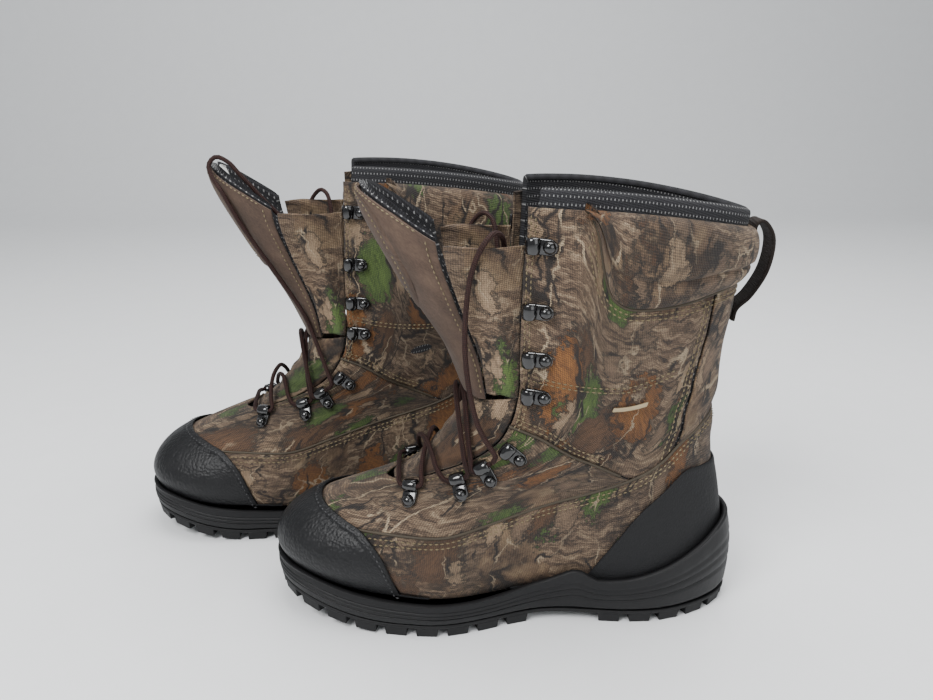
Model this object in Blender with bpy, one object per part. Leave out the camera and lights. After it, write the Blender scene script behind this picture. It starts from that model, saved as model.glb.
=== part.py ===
"""A pair of 10-inch insulated hunting boots, in metres, +Z up, toes towards -Y, left boot at +X.

Each boot is worked out in its own frame, in which a point is (x, s, z): x runs out to the boot's
lateral side, s runs forward from the back of the heel to the toe, and z runs up from the ground.
The upper is one smooth surface through a stack of horizontal loops. A place on it is (side, k, v):
side is +1 on the lateral half and -1 on the medial half, k runs along a loop from the back of the
boot (0) to its front edge (1), and v runs up through the loops, from the sole to the collar.
"""
import bmesh
import bpy
import numpy as np
from mathutils import Matrix, Vector

# Driving dimensions of one boot.
TOUCH = 0.0003  # clearance between neighbouring pieces
SEAM = 0.0004  # clearance between two panels of the same layer
RIGHT_HEEL = (-0.1511, 0.1202)  # the right heel's (x, s) in the left boot's frame
RIGHT_YAW = np.radians(4.9)  # the right boot is toed in by this much
PAIR_CENTRE = (-0.0713, 0.2163)  # the (x, s) of the left boot's frame that is the world's origin

# Layers of the upper, as distances outside its outer fabric face: (inner face, outer face).
FABRIC = (-0.0016, 0.0)
CAP = (0.0012, 0.0030)
INSULATION = (-0.0070, -0.0040)
LINING = (-0.0090, -0.0075)
COLLAR = (-0.0016, 0.0035)

# The loops of the outer fabric face. Each row: back point (s, z), height half-way along, front
# point (s, z), then the half-width at four places along the loop, lateral and medial.
LOOPS = (
    (0.0120, 0.0290, 0.0232, 0.3095, 0.0350, 0.0345, 0.0340, 0.0505, 0.0370, 0.0345, 0.0295, 0.0490, 0.0390),
    (0.0130, 0.0480, 0.0420, 0.3150, 0.0480, 0.0365, 0.0365, 0.0535, 0.0400, 0.0365, 0.0320, 0.0515, 0.0415),
    (0.0160, 0.0680, 0.0600, 0.3110, 0.0590, 0.0365, 0.0370, 0.0515, 0.0375, 0.0365, 0.0330, 0.0500, 0.0380),
    (0.0195, 0.0870, 0.0760, 0.2990, 0.0700, 0.0350, 0.0365, 0.0460, 0.0300, 0.0350, 0.0340, 0.0450, 0.0300),
    (0.0230, 0.1030, 0.0900, 0.2790, 0.0800, 0.0335, 0.0365, 0.0400, 0.0235, 0.0335, 0.0350, 0.0390, 0.0235),
    (0.0243, 0.1180, 0.1020, 0.2540, 0.0885, 0.0330, 0.0375, 0.0375, 0.0225, 0.0330, 0.0365, 0.0370, 0.0225),
    (0.0247, 0.1350, 0.1160, 0.2290, 0.0970, 0.0325, 0.0395, 0.0380, 0.0235, 0.0325, 0.0390, 0.0375, 0.0235),
    (0.0245, 0.1560, 0.1390, 0.2070, 0.1190, 0.0325, 0.0425, 0.0405, 0.0265, 0.0325, 0.0425, 0.0400, 0.0265),
    (0.0235, 0.1780, 0.1640, 0.1880, 0.1480, 0.0330, 0.0455, 0.0440, 0.0300, 0.0330, 0.0455, 0.0440, 0.0300),
    (0.0215, 0.2000, 0.1910, 0.1775, 0.1810, 0.0335, 0.0480, 0.0470, 0.0335, 0.0335, 0.0480, 0.0470, 0.0335),
    (0.0190, 0.2210, 0.2180, 0.1730, 0.2150, 0.0340, 0.0500, 0.0490, 0.0360, 0.0340, 0.0500, 0.0490, 0.0360),
    (0.0162, 0.2410, 0.2450, 0.1710, 0.2460, 0.0345, 0.0515, 0.0500, 0.0372, 0.0345, 0.0515, 0.0500, 0.0372),
    (0.0135, 0.2580, 0.2715, 0.1700, 0.2740, 0.0350, 0.0520, 0.0505, 0.0378, 0.0350, 0.0520, 0.0505, 0.0378),
    (0.0120, 0.2700, 0.2835, 0.1700, 0.2860, 0.0350, 0.0520, 0.0505, 0.0378, 0.0350, 0.0520, 0.0505, 0.0378),
)
WIDTH_AT = np.array((0.12, 0.42, 0.70, 0.90))  # where along a loop its half-widths are given
FULLNESS = 0.85  # under 1, a loop's ends are blunter than an ellipse's
TOP = 12.0  # v of the collar's edge
LINING_TOP = 12.9  # v of the lining's edge, which stands above the collar
THROAT_ROWS = np.array((0.05, 0.12, 0.28, 0.50, 0.75, 1.0))  # the vamp's rows, closest at the throat's rounded end
THROAT = 5.5  # v of the throat's lower end
TOE_SHIFT = 0.008  # how far the toe leans to the medial side
HALF_GAP = (
    (5.5, 0.0), (5.7, 0.0130), (6.0, 0.0200), (6.2, 0.0240), (6.55, 0.0305), (7.0, 0.0350), (7.5, 0.0366),
    (8.0, 0.0370), (8.5, 0.0370), (9.0, 0.0366), (10.0, 0.0362), (11.0, 0.0364), (12.0, 0.0370), (13.0, 0.0372),
)  # the throat's half-width at each v
INSIDE_SETBACK = 0.055  # how far the inner layers stop short of the throat's edge, in k

# Seams of the side view, as (s, z).
QUARTER_SEAM = (
    (0.0, 0.1500), (0.042, 0.1331), (0.076, 0.1062), (0.110, 0.0925), (0.1315, 0.0862),
    (0.175, 0.0745), (0.209, 0.0685), (0.2435, 0.0690), (0.330, 0.0690),
)
WING_SEAM = ((0.0, 0.050), (0.085, 0.1010), (0.121, 0.1186), (0.145, 0.1334), (0.166, 0.1406), (0.22, 0.1460))
CUFF_SEAM = (
    (0.0, 0.2270), (0.039, 0.2232), (0.0665, 0.2176), (0.0863, 0.2166), (0.1060, 0.2229),
    (0.1125, 0.2400), (0.1165, 0.2600), (0.1230, 0.2740), (0.20, 0.40),
)
TOE_CAP_EDGE = (
    (0.0, -0.1), (0.228, 0.010), (0.2310, 0.0202), (0.2410, 0.0510), (0.2530, 0.0660),
    (0.2680, 0.0725), (0.2860, 0.0785), (0.330, 0.110),
)
HEEL_CAP_EDGE = (
    (0.0, 0.1040), (0.023, 0.1040), (0.045, 0.1055), (0.064, 0.0923), (0.083, 0.0741),
    (0.095, 0.0569), (0.106, 0.0401), (0.114, 0.0260), (0.33, -0.10),
)
EVEN_K = 0.26  # from here forward the columns spread to follow the throat's edge
BACKSTAY_K = 0.25  # the backstay's half-width, along the loops
COLUMNS = np.array((0.0, 0.08, 0.17, 0.25, 0.34, 0.43, 0.52, 0.60, 0.68, 0.76, 0.83, 0.89, 0.95, 1.0))

# The sole unit.
LUG_DEPTH = 0.0060
PLATE_THICKNESS = 0.0032
SOLE_RISE = ((0.0, 0.0), (0.74, 0.0), (1.0, 0.0140))  # toe spring, against the place along the sole
RIM = 0.0043  # the midsole's rim stands this far outside the fabric
RIM_THICKNESS = 0.0034

# The tongue: centre line (s, z) from its hinge to its top, half-width, depth of the wrap, and how
# far its edges drop below its centre.
TONGUE = (
    (0.1900, 0.1545, 0.0270, 0.0140, 0.0000),
    (0.2030, 0.1850, 0.0290, 0.0220, 0.0030),
    (0.2290, 0.2280, 0.0330, 0.0360, 0.0130),
    (0.2520, 0.2740, 0.0370, 0.0500, 0.0300),
    (0.2545, 0.2850, 0.0375, 0.0510, 0.0310),
)
TONGUE_FACE_TOP = 0.93  # how far up the tongue its leather reaches
TONGUE_FACE = (-0.0020, 0.0)  # layers of the tongue, as distances outside its front face
TONGUE_PADDING = (-0.0082, -0.0024)
LOWER_TONGUE = (5.78, 7.80)  # v of the lower tongue's ends
LOWER_TONGUE_LAYER = (-0.0042, -0.0010)  # as distances outside the virtual fabric face
THROAT_CLEARANCE = 0.0032  # between the lower tongue and the throat's edge
GUSSET_THICKNESS = 0.0012
GUSSET_FOLD = 0.0060  # how far the gusset's pleat stands out
TONGUE_HINGE = (0.0, 0.1890, 0.1515)
HOOK_LOWER = (5.78, 6.22, 6.62, 7.08)  # v of each hook's place on the throat's edge
HOOK_UPPER = (8.30, 9.05, 9.98, 11.25)
HOOK_INSET = 0.0120  # from the throat's edge to the middle of a hook
LACE = 0.0033  # diameter
LACE_STEP = 0.0098  # between a lace's points
LACED_HOOKS = 3  # hooks in use on each side

# A hook seen along the lace, as (a, n): a runs away from the throat and n out from the fabric.
HOOK_OUTLINE = (
    (0.0085, 0.0017), (0.0090, 0.0028), (0.0065, 0.0040), (0.0010, 0.0042),
    (-0.0012, 0.0071), (-0.0060, 0.0074), (-0.0085, 0.0050), (-0.0085, 0.0017),
)
HOOK_STRIP = (0.0015, 0.0023)  # layer of the strip that carries a row of hooks
HOOK_STRIP_ROWS = (5.66, 5.8, 6.0, 6.22, 6.5, 6.8, 7.1, 7.5, 8.2, 9.2, 10.4, 11.7)  # v
HOOK_STRIP_ACROSS = (0.0101, 0.0149, 0.0200)  # distances from the throat's edge
HOOK_TUNNEL = (-0.0053, 0.0042)  # centre of the hole for the lace
HOOK_TUNNEL_RADIUS = 0.00215
HOOK_TUNNEL_ANGLES = np.radians((-60, -20, 10, 40, 80, 125, 180, 240))
HOOK_HALF_WIDTH = 0.0036

SIDES = (1, -1)
LATERAL, MEDIAL = SIDES


def smooth(points):
    """A function that runs smoothly through (x, y...) points and doesn't overshoot them."""
    table = np.array(points, float)
    xs, ys = table[:, 0], table[:, 1:]
    steps = np.diff(xs)[:, None]
    slopes = np.diff(ys, axis=0) / steps
    inner = (slopes[:-1] * steps[1:] + slopes[1:] * steps[:-1]) / (steps[:-1] + steps[1:])
    inner[slopes[:-1] * slopes[1:] <= 0] = 0
    limit = 3 * np.minimum(abs(slopes[:-1]), abs(slopes[1:]))
    inner = np.clip(inner, -limit, limit)
    tangents = np.vstack([slopes[:1], inner, slopes[-1:]])

    def at(x):
        x = np.asarray(x, float)
        i = np.clip(np.searchsorted(xs, x, side="right") - 1, 0, len(xs) - 2)
        h = steps[i, 0]
        t = np.clip((x - xs[i]) / h, 0, 1)[..., None]
        h = h[..., None]
        start = (1 + 2 * t) * (1 - t) ** 2 * ys[i] + t * (1 - t) ** 2 * h * tangents[i]
        return start + t * t * (3 - 2 * t) * ys[i + 1] + t * t * (t - 1) * h * tangents[i + 1]

    return at


loop_at = smooth([(v, *row) for v, row in enumerate(LOOPS)])
half_gap_at = smooth(HALF_GAP)
tongue_at = smooth([(t, *row) for t, row in zip(np.linspace(0, 1, len(TONGUE)), TONGUE)])
sole_rise_at = smooth(SOLE_RISE)


def loop_point(side, angle, v):
    """The point at an angle from 0, at the back of the loop v, to pi, at its virtual front."""
    angle, v = np.broadcast_arrays(np.asarray(angle, float), np.asarray(v, float))
    row = loop_at(v)
    along = (1 - np.cos(angle)) / 2
    rounding = np.sin(np.clip(angle, 0, np.pi)) ** FULLNESS
    first = 5 if side == LATERAL else 9
    widths = row[..., first:first + 4] / (2 * np.sqrt(WIDTH_AT * (1 - WIDTH_AT))) ** FULLNESS
    width = np.zeros_like(along)
    knots = np.concatenate([[0.0], WIDTH_AT, [1.0]])
    ease = np.clip((along[..., None] - knots[:-1]) / np.diff(knots), 0, 1)
    ease = ease * ease * (3 - 2 * ease)
    levels = np.concatenate([widths[..., :1], widths, widths[..., -1:]], axis=-1)
    width = levels[..., 0] + (np.diff(levels, axis=-1) * ease).sum(-1)
    fade = np.clip(1 - v / THROAT, 0, 1)
    x = side * width * rounding - TOE_SHIFT * fade * along ** 2
    s = row[..., 0] + (row[..., 3] - row[..., 0]) * along
    back, middle, front = row[..., 1], row[..., 2], row[..., 4]
    z = back + (front - back) * along + (middle - (back + front) / 2) * 4 * along * (1 - along)
    return np.stack([x, s, z], axis=-1)


def front_edge_table():
    """For each v, the angle at which a loop meets the throat's edge."""
    levels = np.linspace(0, len(LOOPS) - 1, 261)
    gap = half_gap_at(levels)[:, 0]
    low, high = np.full_like(levels, np.pi / 2), np.full_like(levels, np.pi)
    for _ in range(40):
        middle = (low + high) / 2
        outside = loop_point(LATERAL, middle, levels)[:, 0] > gap
        low, high = np.where(outside, middle, low), np.where(outside, high, middle)
    return levels, np.where(levels <= THROAT, np.pi, low)


EDGE_V, EDGE_ANGLE = front_edge_table()


def upper_point(side, k, v):
    k = np.asarray(k, float)
    bend = np.clip((k - EVEN_K) / (1 - EVEN_K), 0, 1) ** 1.5
    return loop_point(side, np.pi * k - (np.pi - np.interp(v, EDGE_V, EDGE_ANGLE)) * bend, v)


def upper_normal(side, k, v):
    """The outward normal of the fabric face."""
    step = 1e-3
    k, v = np.broadcast_arrays(np.asarray(k, float), np.asarray(v, float))
    k0 = np.clip(k - step, 0, 1 - 2 * step)
    v0 = np.clip(v - 20 * step, 0, len(LOOPS) - 1 - 40 * step)
    along = upper_point(side, k0 + 2 * step, v) - upper_point(side, k0, v)
    up = upper_point(side, k, v0 + 40 * step) - upper_point(side, k, v0)
    normal = np.cross(along, up) * side
    centred = (k <= 0) | ((k >= 1) & (v <= THROAT))
    normal[..., 0] = np.where(centred, 0, normal[..., 0])
    return normal / np.linalg.norm(normal, axis=-1, keepdims=True)


def crossing(side, k, seam, shift=0.0):
    """The v at which the line k crosses a seam of the side view, moved up by shift along its normal."""
    table = np.array(seam, float)
    xs = np.linspace(table[0, 0], table[-1, 0], 200)
    zs = smooth(seam)(xs)[:, 0]
    lean = np.gradient(zs, xs)
    length = np.sqrt(1 + lean ** 2)
    moved_s, moved_z = xs - shift * lean / length, zs + shift / length
    k = np.asarray(k, float)
    low, high = np.zeros_like(k), np.full_like(k, TOP)
    for _ in range(40):
        middle = (low + high) / 2
        point = upper_point(side, k, middle)
        below = point[..., 2] < np.interp(point[..., 1], moved_s, moved_z)
        low, high = np.where(below, middle, low), np.where(below, high, middle)
    return low


def columns(first, last, extra=()):
    """The shared columns from first to last, with these two and any extra ones among them."""
    inside = COLUMNS[(COLUMNS > first + 0.015) & (COLUMNS < last - 0.015)]
    return np.unique(np.concatenate([[first, last], inside, extra]))


def patch(side, ks, lows, highs, rows):
    """The grid of (side, k, v) places between two boundaries. rows are fractions of the way up."""
    lows, highs = np.broadcast_to(lows, ks.shape), np.broadcast_to(highs, ks.shape)
    return [[(side, k, low + (high - low) * row) for row in rows] for k, low, high in zip(ks, lows, highs)]


# Building solids.


def material(name, colour, roughness, metallic=0.0):
    found = bpy.data.materials.get(name)
    if found:
        return found
    found = bpy.data.materials.new(name)
    found.use_nodes = True
    shader = found.node_tree.nodes["Principled BSDF"]
    shader.inputs["Base Color"].default_value = (*colour, 1)
    shader.inputs["Roughness"].default_value = roughness
    shader.inputs["Metallic"].default_value = metallic
    return found


def camo():
    return material("camouflage_fabric", (0.20, 0.13, 0.075), 0.9)


def black_rubber():
    return material("black_rubber", (0.02, 0.02, 0.022), 0.6)


def black_mesh():
    return material("black_mesh", (0.03, 0.03, 0.035), 0.95)


def boot_matrix(boot):
    """From a boot's own (x, s, z) to the world."""
    if boot == "left":
        axes, heel = ((1, 0), (0, 1)), (0.0, 0.0)
    else:
        sine, cosine = np.sin(RIGHT_YAW), np.cos(RIGHT_YAW)
        axes, heel = ((-cosine, sine), (sine, cosine)), RIGHT_HEEL
    (out_x, out_s), (ahead_x, ahead_s) = axes
    origin_x, origin_s = heel[0] - PAIR_CENTRE[0], heel[1] - PAIR_CENTRE[1]
    return Matrix((
        (out_x, ahead_x, 0, origin_x),
        (-out_s, -ahead_s, 0, -origin_s),
        (0, 0, 1, 0),
        (0, 0, 0, 1),
    ))


def add_solid(boot, name, vertices, faces, finish, pivot=(0, 0, 0)):
    """A closed mesh from points in the boot's frame. Its origin is at pivot."""
    place = boot_matrix(boot)
    origin = place @ Vector(pivot)
    mesh = bpy.data.meshes.new(name)
    mesh.from_pydata([place @ Vector(point) - origin for point in vertices], [], faces)
    shape = bmesh.new()
    shape.from_mesh(mesh)
    bmesh.ops.remove_doubles(shape, verts=shape.verts, dist=1e-6)
    bmesh.ops.dissolve_degenerate(shape, edges=shape.edges, dist=1e-6)
    bmesh.ops.recalc_face_normals(shape, faces=shape.faces)
    if shape.calc_volume(signed=True) < 0:
        bmesh.ops.reverse_faces(shape, faces=shape.faces)
    shape.to_mesh(mesh)
    shape.free()
    mesh.shade_smooth()
    mesh.set_sharp_from_angle(angle=np.radians(40))
    mesh.materials.append(finish)
    solid = bpy.data.objects.new(f"{boot}_{name}", mesh)
    solid.location = origin
    bpy.context.scene.collection.objects.link(solid)
    return solid


def shell(boot, name, grids, middle_at, outer_at, inner_at, finish, pivot=(0, 0, 0)):
    """A sheet with thickness over grids of places. Grids join where their middle points meet, and
    outer_at and inner_at give a place's two faces."""
    index, outer, inner, faces = {}, [], [], []

    def number(place):
        key = tuple(int(round(c * 1e5)) for c in middle_at(place))
        if key not in index:
            index[key] = len(outer)
            outer.append(outer_at(place))
            inner.append(inner_at(place))
        return index[key]

    for grid in grids:
        numbers = [[number(place) for place in column] for column in grid]
        for left, right in zip(numbers, numbers[1:]):
            for a, b, c, d in zip(left, right, right[1:], left[1:]):
                for corners in ((a, b, c), (a, c, d)):
                    if len(set(corners)) == 3:
                        faces.append(list(corners))
    count = len(outer)
    ends = {}
    for face in faces:
        for a, b in zip(face, face[1:] + face[:1]):
            ends.setdefault(frozenset((a, b)), []).append((a, b))
    walls = [pair[0] for pair in ends.values() if len(pair) == 1]
    solid = faces + [[i + count for i in reversed(face)] for face in faces]
    solid += [[b, a, a + count, b + count] for a, b in walls]
    return add_solid(boot, name, outer + inner, solid, finish, pivot)


def upper_shell(boot, name, grids, layer, finish):
    """A sheet of the upper between a layer's two offsets from the fabric face."""
    def at(offset):
        return lambda place: upper_point(*place) + upper_normal(*place) * offset

    return shell(boot, name, grids, at(0), at(layer[1]), at(layer[0]), finish)


# The upper's pieces.


def add_quarter(boot):
    """The lower side panel, from the toe round the heel."""
    grids = []
    for side in SIDES:
        ks = columns(0, 1)
        highs = crossing(side, ks, QUARTER_SEAM, -SEAM / 2)
        grids.append(patch(side, ks, 0.0, highs, (0, 0.2, 0.4, 0.6, 0.8, 1)))
    upper_shell(boot, "quarter", grids, FABRIC, camo())


def add_vamp(boot):
    """The panel over the instep, joined across the foot up to the throat."""
    grids = []
    for side in SIDES:
        ks = columns(0.41, 1)
        lows = crossing(side, ks, QUARTER_SEAM, SEAM / 2)
        highs = np.maximum(crossing(side, ks, WING_SEAM, -SEAM / 2), lows)
        throat = (THROAT - lows[-1]) / (highs[-1] - lows[-1])
        rows = np.concatenate([np.linspace(0, throat, 4), throat + (1 - throat) * THROAT_ROWS])
        keep = highs - lows > 0.1
        grids.append(patch(side, ks[keep], lows[keep], highs[keep], rows))
    upper_shell(boot, "vamp", grids, FABRIC, camo())


def add_shafts(boot):
    """Each side's shaft panel, with the tab that carries the upper hooks."""
    for side, label in zip(SIDES, ("lateral", "medial")):
        ks = columns(BACKSTAY_K + 0.004, 1, extra=(0.64, 0.72))
        lows = np.maximum(
            crossing(side, ks, QUARTER_SEAM, SEAM / 2),
            crossing(side, ks, WING_SEAM, SEAM / 2),
        )
        highs = np.minimum(crossing(side, ks, CUFF_SEAM, -SEAM / 2), TOP - 0.05)
        grid = patch(side, ks, lows, highs, np.linspace(0, 1, 7))
        upper_shell(boot, f"shaft_{label}", [grid], FABRIC, camo())


def add_backstay(boot):
    grids = []
    for side in SIDES:
        ks = columns(0, BACKSTAY_K - 0.004)
        lows = crossing(side, ks, QUARTER_SEAM, SEAM / 2)
        highs = crossing(side, ks, CUFF_SEAM, -SEAM / 2)
        grids.append(patch(side, ks, lows, highs, (0, 0.33, 0.67, 1)))
    upper_shell(boot, "backstay", grids, FABRIC, camo())


def add_collar(boot):
    """The padded cuff, from one tab round the back to the other."""
    grids = []
    for side in SIDES:
        ks = columns(0, 0.73, extra=(0.64,))
        lows = crossing(side, ks, CUFF_SEAM, SEAM)
        keep = lows < TOP - 0.25
        grids.append(patch(side, ks[keep], lows[keep], TOP - 0.05, (0, 0.15, 0.45, 0.85, 1)))

    def outer(place):
        side, k, v = place
        low = crossing(side, k, CUFF_SEAM, SEAM)
        rise = np.clip((v - low) / (TOP - 0.05 - low), 0, 1)
        swell = COLLAR[1] * np.sin(np.pi * rise) ** 0.6
        return upper_point(*place) + upper_normal(*place) * swell

    def inner(place):
        return upper_point(*place) + upper_normal(*place) * COLLAR[0]

    shell(boot, "collar", grids, lambda place: upper_point(*place), outer, inner, camo())


def add_bootie(boot, name, layer, top, finish):
    """A layer inside the fabric, closed over the toe and open from the throat up."""
    levels = np.concatenate([np.linspace(0.2, THROAT, 4), [THROAT + 0.12, 6.1, 6.6, 7.2, 8.3, 10.0, top]])
    grids = []
    for side in SIDES:
        grid = []
        for k in columns(0, 1):
            setback = INSIDE_SETBACK * k ** 8 * np.clip((levels - THROAT) / 0.12, 0, 1)
            grid.append([(side, k - back, v) for v, back in zip(levels, setback)])
        grids.append(grid)
    upper_shell(boot, name, grids, layer, finish)


def add_caps(boot):
    """The rubber toe cap and heel cap, which lie over the fabric."""
    grids = []
    for side in SIDES:
        ks = columns(0.60, 1, extra=(0.64, 0.66, 0.70, 0.72, 0.74))
        highs = crossing(side, ks, TOE_CAP_EDGE)
        keep = highs > 0.3
        grids.append(patch(side, ks[keep], 0.12, highs[keep], (0, 0.25, 0.5, 0.75, 1)))
    upper_shell(boot, "toe_cap", grids, CAP, black_rubber())
    grids = []
    for side in SIDES:
        ks = columns(0, 0.52, extra=(0.39,))
        highs = crossing(side, ks, HEEL_CAP_EDGE)
        keep = highs > 0.3
        grids.append(patch(side, ks[keep], 0.12, highs[keep], (0, 0.25, 0.5, 0.75, 1)))
    upper_shell(boot, "heel_cap", grids, CAP, black_rubber())


# The sole.


def outline(side, k, out, v=0.0):
    """A point of the sole's outline: the upper's lower edge, moved out level by this much."""
    normal = upper_normal(side, k, v)
    normal[..., 2] = 0
    normal /= np.linalg.norm(normal, axis=-1, keepdims=True)
    return upper_point(side, k, v) + normal * out


def floor_height(s):
    """The midsole's top under the foot."""
    back, middle, front = LOOPS[0][1], LOOPS[0][2], LOOPS[0][4]
    along = np.clip((s - LOOPS[0][0]) / (LOOPS[0][3] - LOOPS[0][0]), 0, 1)
    level = back + (front - back) * along + (middle - (back + front) / 2) * 4 * along * (1 - along)
    return level - TOUCH


def ground_height(s):
    """The underside of the tread, with its toe spring."""
    return sole_rise_at(s / (LOOPS[0][3] + 0.008))[..., 0]


def midsole_base(s):
    return LUG_DEPTH + PLATE_THICKNESS + ground_height(s)


def with_height(point, height):
    return np.array((point[0], point[1], height(point[1])))


def ring(out, height, v=0.0):
    """One closed loop of the sole: lateral from heel to toe, then medial back to the heel."""
    lateral = [outline(LATERAL, k, out, v) for k in COLUMNS]
    medial = [outline(MEDIAL, k, out, v) for k in COLUMNS[-2:0:-1]]
    return [with_height(point, height) for point in lateral + medial]


def span(first, count):
    """Faces that fill a ring across the sole, from its heel to its toe."""
    half = count // 2
    faces = [[first, first + 1, first + count - 1]]
    for i in range(1, half - 1):
        faces.append([first + i, first + i + 1, first + count - i - 1, first + count - i])
    faces.append([first + half - 1, first + half, first + half + 1])
    return faces


def stacked(boot, name, rings, finish):
    """A solid through closed rings, capped across the sole at both ends."""
    count = len(rings[0])
    faces = span(0, count) + span((len(rings) - 1) * count, count)
    for level in range(len(rings) - 1):
        for i in range(count):
            j = (i + 1) % count
            a, b = level * count, (level + 1) * count
            faces.append([a + i, a + j, b + j, b + i])
    return add_solid(boot, name, [point for loop in rings for point in loop], faces, finish)


RIM_TOP = smooth((
    (0.0, 0.0690), (0.020, 0.0620), (0.036, 0.0530), (0.060, 0.0420), (0.085, 0.0340),
    (0.102, 0.0325), (0.118, 0.0400), (0.135, 0.0330), (0.158, 0.0265), (0.190, 0.0235),
    (0.235, 0.0250), (0.270, 0.0300), (0.300, 0.0365), (0.330, 0.0400),
))  # the height of the midsole's rim in the side view


def rim_height(s):
    return RIM_TOP(s)[..., 0]


def add_sole(boot):
    """The lugged outsole, the cupped midsole, the shank, the lasting board and the footbed."""
    flare = RIM + RIM_THICKNESS

    def halfway(s):
        return (midsole_base(s) + rim_height(s)) / 2

    def rim_ring(out, height):
        """A ring that follows the upper's face at the rim's height."""
        points = []
        for point, k, side in zip(ring(0, height), RING_K, RING_SIDE):
            v = float(crossing(side, k, [(-0.05, point[2]), (0.4, point[2])]))
            points.append(with_height(outline(side, k, out, v), height))
        return points

    rings = [
        ring(flare - 0.0025, midsole_base),
        ring(flare + 0.0008, halfway),
        rim_ring(flare, rim_height),
        rim_ring(RIM, rim_height),
        ring(RIM, lambda s: floor_height(s) + TOUCH),
        ring(RIM - 0.002, floor_height),
    ]
    stacked(boot, "midsole", rings, black_rubber())

    def plate(name, out, low, high, finish):
        stacked(boot, name, [ring(out, low), ring(out, high)], finish)

    inside = LINING[0] - TOUCH
    board_low, board_high = 0.0016, 0.0034
    plate("lasting_board", inside - 0.0006, lambda s: floor_height(s) + board_low,
          lambda s: floor_height(s) + board_high, material("lasting_board", (0.55, 0.5, 0.4), 0.9))
    plate("footbed", inside - 0.0012, lambda s: floor_height(s) + board_high + TOUCH,
          lambda s: floor_height(s) + board_high + 0.0045, black_mesh())
    add_shank(boot, board_low)
    add_outsole(boot, flare)


RING_K = list(COLUMNS) + list(COLUMNS[-2:0:-1])
RING_SIDE = [LATERAL] * len(COLUMNS) + [MEDIAL] * (len(COLUMNS) - 2)


def add_shank(boot, room):
    """The stiffening plate under the arch, between the midsole and the lasting board."""
    start, end, half_width = 0.060, 0.172, 0.011
    stations = np.linspace(start, end, 6)
    vertices, faces = [], []
    for s in stations:
        low, high = floor_height(s) + 0.0002, floor_height(s) + room - 0.0002
        vertices += [(-half_width, s, low), (half_width, s, low), (half_width, s, high), (-half_width, s, high)]
    for i in range(len(stations) - 1):
        for j in range(4):
            a, b = 4 * i + j, 4 * i + (j + 1) % 4
            faces.append([a, b, b + 4, a + 4])
    last = 4 * (len(stations) - 1)
    faces += [[0, 1, 2, 3], [last, last + 1, last + 2, last + 3]]
    add_solid(boot, "shank", vertices, faces, material("shank_steel", (0.5, 0.5, 0.52), 0.35, 1.0))


def add_outsole(boot, flare):
    """A tread plate with a block under each of its cells, apart from the arch, all one piece."""
    def under(s):
        return midsole_base(s) - TOUCH

    def tread_top(s):
        return ground_height(s) + LUG_DEPTH

    loops = [ring(flare - 0.0028, under), ring(flare - 0.0035, tread_top), ring(flare - 0.0180, tread_top)]
    count = len(loops[0])
    vertices = [point for loop in loops for point in loop]
    faces = span(0, count)
    cells = span(2 * count, count)
    for i in range(count):
        j = (i + 1) % count
        faces.append([i, j, count + j, count + i])
        cells.append([count + i, count + j, 2 * count + j, 2 * count + i])
    for cell in cells:
        corners = np.array([vertices[i] for i in cell])
        centre = corners.mean(axis=0)
        if ARCH[0] < centre[1] < ARCH[1]:
            faces.append(cell)
            continue
        size = len(cell)
        first = len(vertices)
        for shrink, height in ((BLOCK_ROOT, tread_top), (BLOCK_FACE, ground_height)):
            vertices.extend(with_height(centre + (corner - centre) * shrink, height) for corner in corners)
        for i in range(size):
            j = (i + 1) % size
            faces.append([cell[i], cell[j], first + j, first + i])
            faces.append([first + i, first + j, first + size + j, first + size + i])
        faces.append(list(range(first + size, first + 2 * size)))
    add_solid(boot, "outsole", vertices, faces, black_rubber())


ARCH = (0.102, 0.150)  # the stretch of the sole that has no tread blocks
BLOCK_ROOT = 0.86  # a tread block's size at the plate and at the ground, against its cell's
BLOCK_FACE = 0.76


# The tongue and its gussets.


def tongue_point(phi, t):
    """A point of the tongue's front face: phi runs across it from -1 to 1, t up from the hinge."""
    s, z, half_width, wrap, drop = np.moveaxis(tongue_at(t), -1, 0)
    turn = np.asarray(phi) * np.pi / 2
    back = 1 - np.cos(turn)
    return np.stack([half_width * np.sin(turn), s - wrap * back, z - drop * back], axis=-1)


def tongue_normal(phi, t):
    step = 1e-3
    phi0, t0 = np.clip(phi, -1 + step, 1 - step), np.clip(t, step, 1 - step)
    across = tongue_point(phi0 + step, t0) - tongue_point(phi0 - step, t0)
    up = tongue_point(phi0, t0 + step) - tongue_point(phi0, t0 - step)
    normal = np.cross(up, across)
    return normal / np.linalg.norm(normal)


def add_tongue_layer(boot, name, layer, phis, ts, finish):
    def at(offset):
        return lambda place: tongue_point(*place) + tongue_normal(*place) * offset

    grid = [[(phi, t) for t in ts] for phi in phis]
    return shell(boot, name, [grid], at(0), at(layer[1]), at(layer[0]), finish, TONGUE_HINGE)


def throat_frame(side, v):
    """The throat's edge at v: its point, its normal, and the direction up along it."""
    point = upper_point(side, 1.0, v)
    up = upper_point(side, 1.0, v + 0.2) - upper_point(side, 1.0, v - 0.2)
    return point, upper_normal(side, 1.0, v), up / np.linalg.norm(up)


def throat_point(side, angle, v, out):
    """A point out from the loops' own surface, which the throat's opening is cut from."""
    step = 1e-3
    below = min(angle, np.pi - step)
    along = loop_point(side, below + step, v) - loop_point(side, below - step, v)
    up = loop_point(side, below, v + 20 * step) - loop_point(side, below, v - 20 * step)
    normal = np.cross(along, up) * side
    normal[0] *= angle < np.pi
    return loop_point(side, angle, v) + normal / np.linalg.norm(normal) * out


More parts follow.
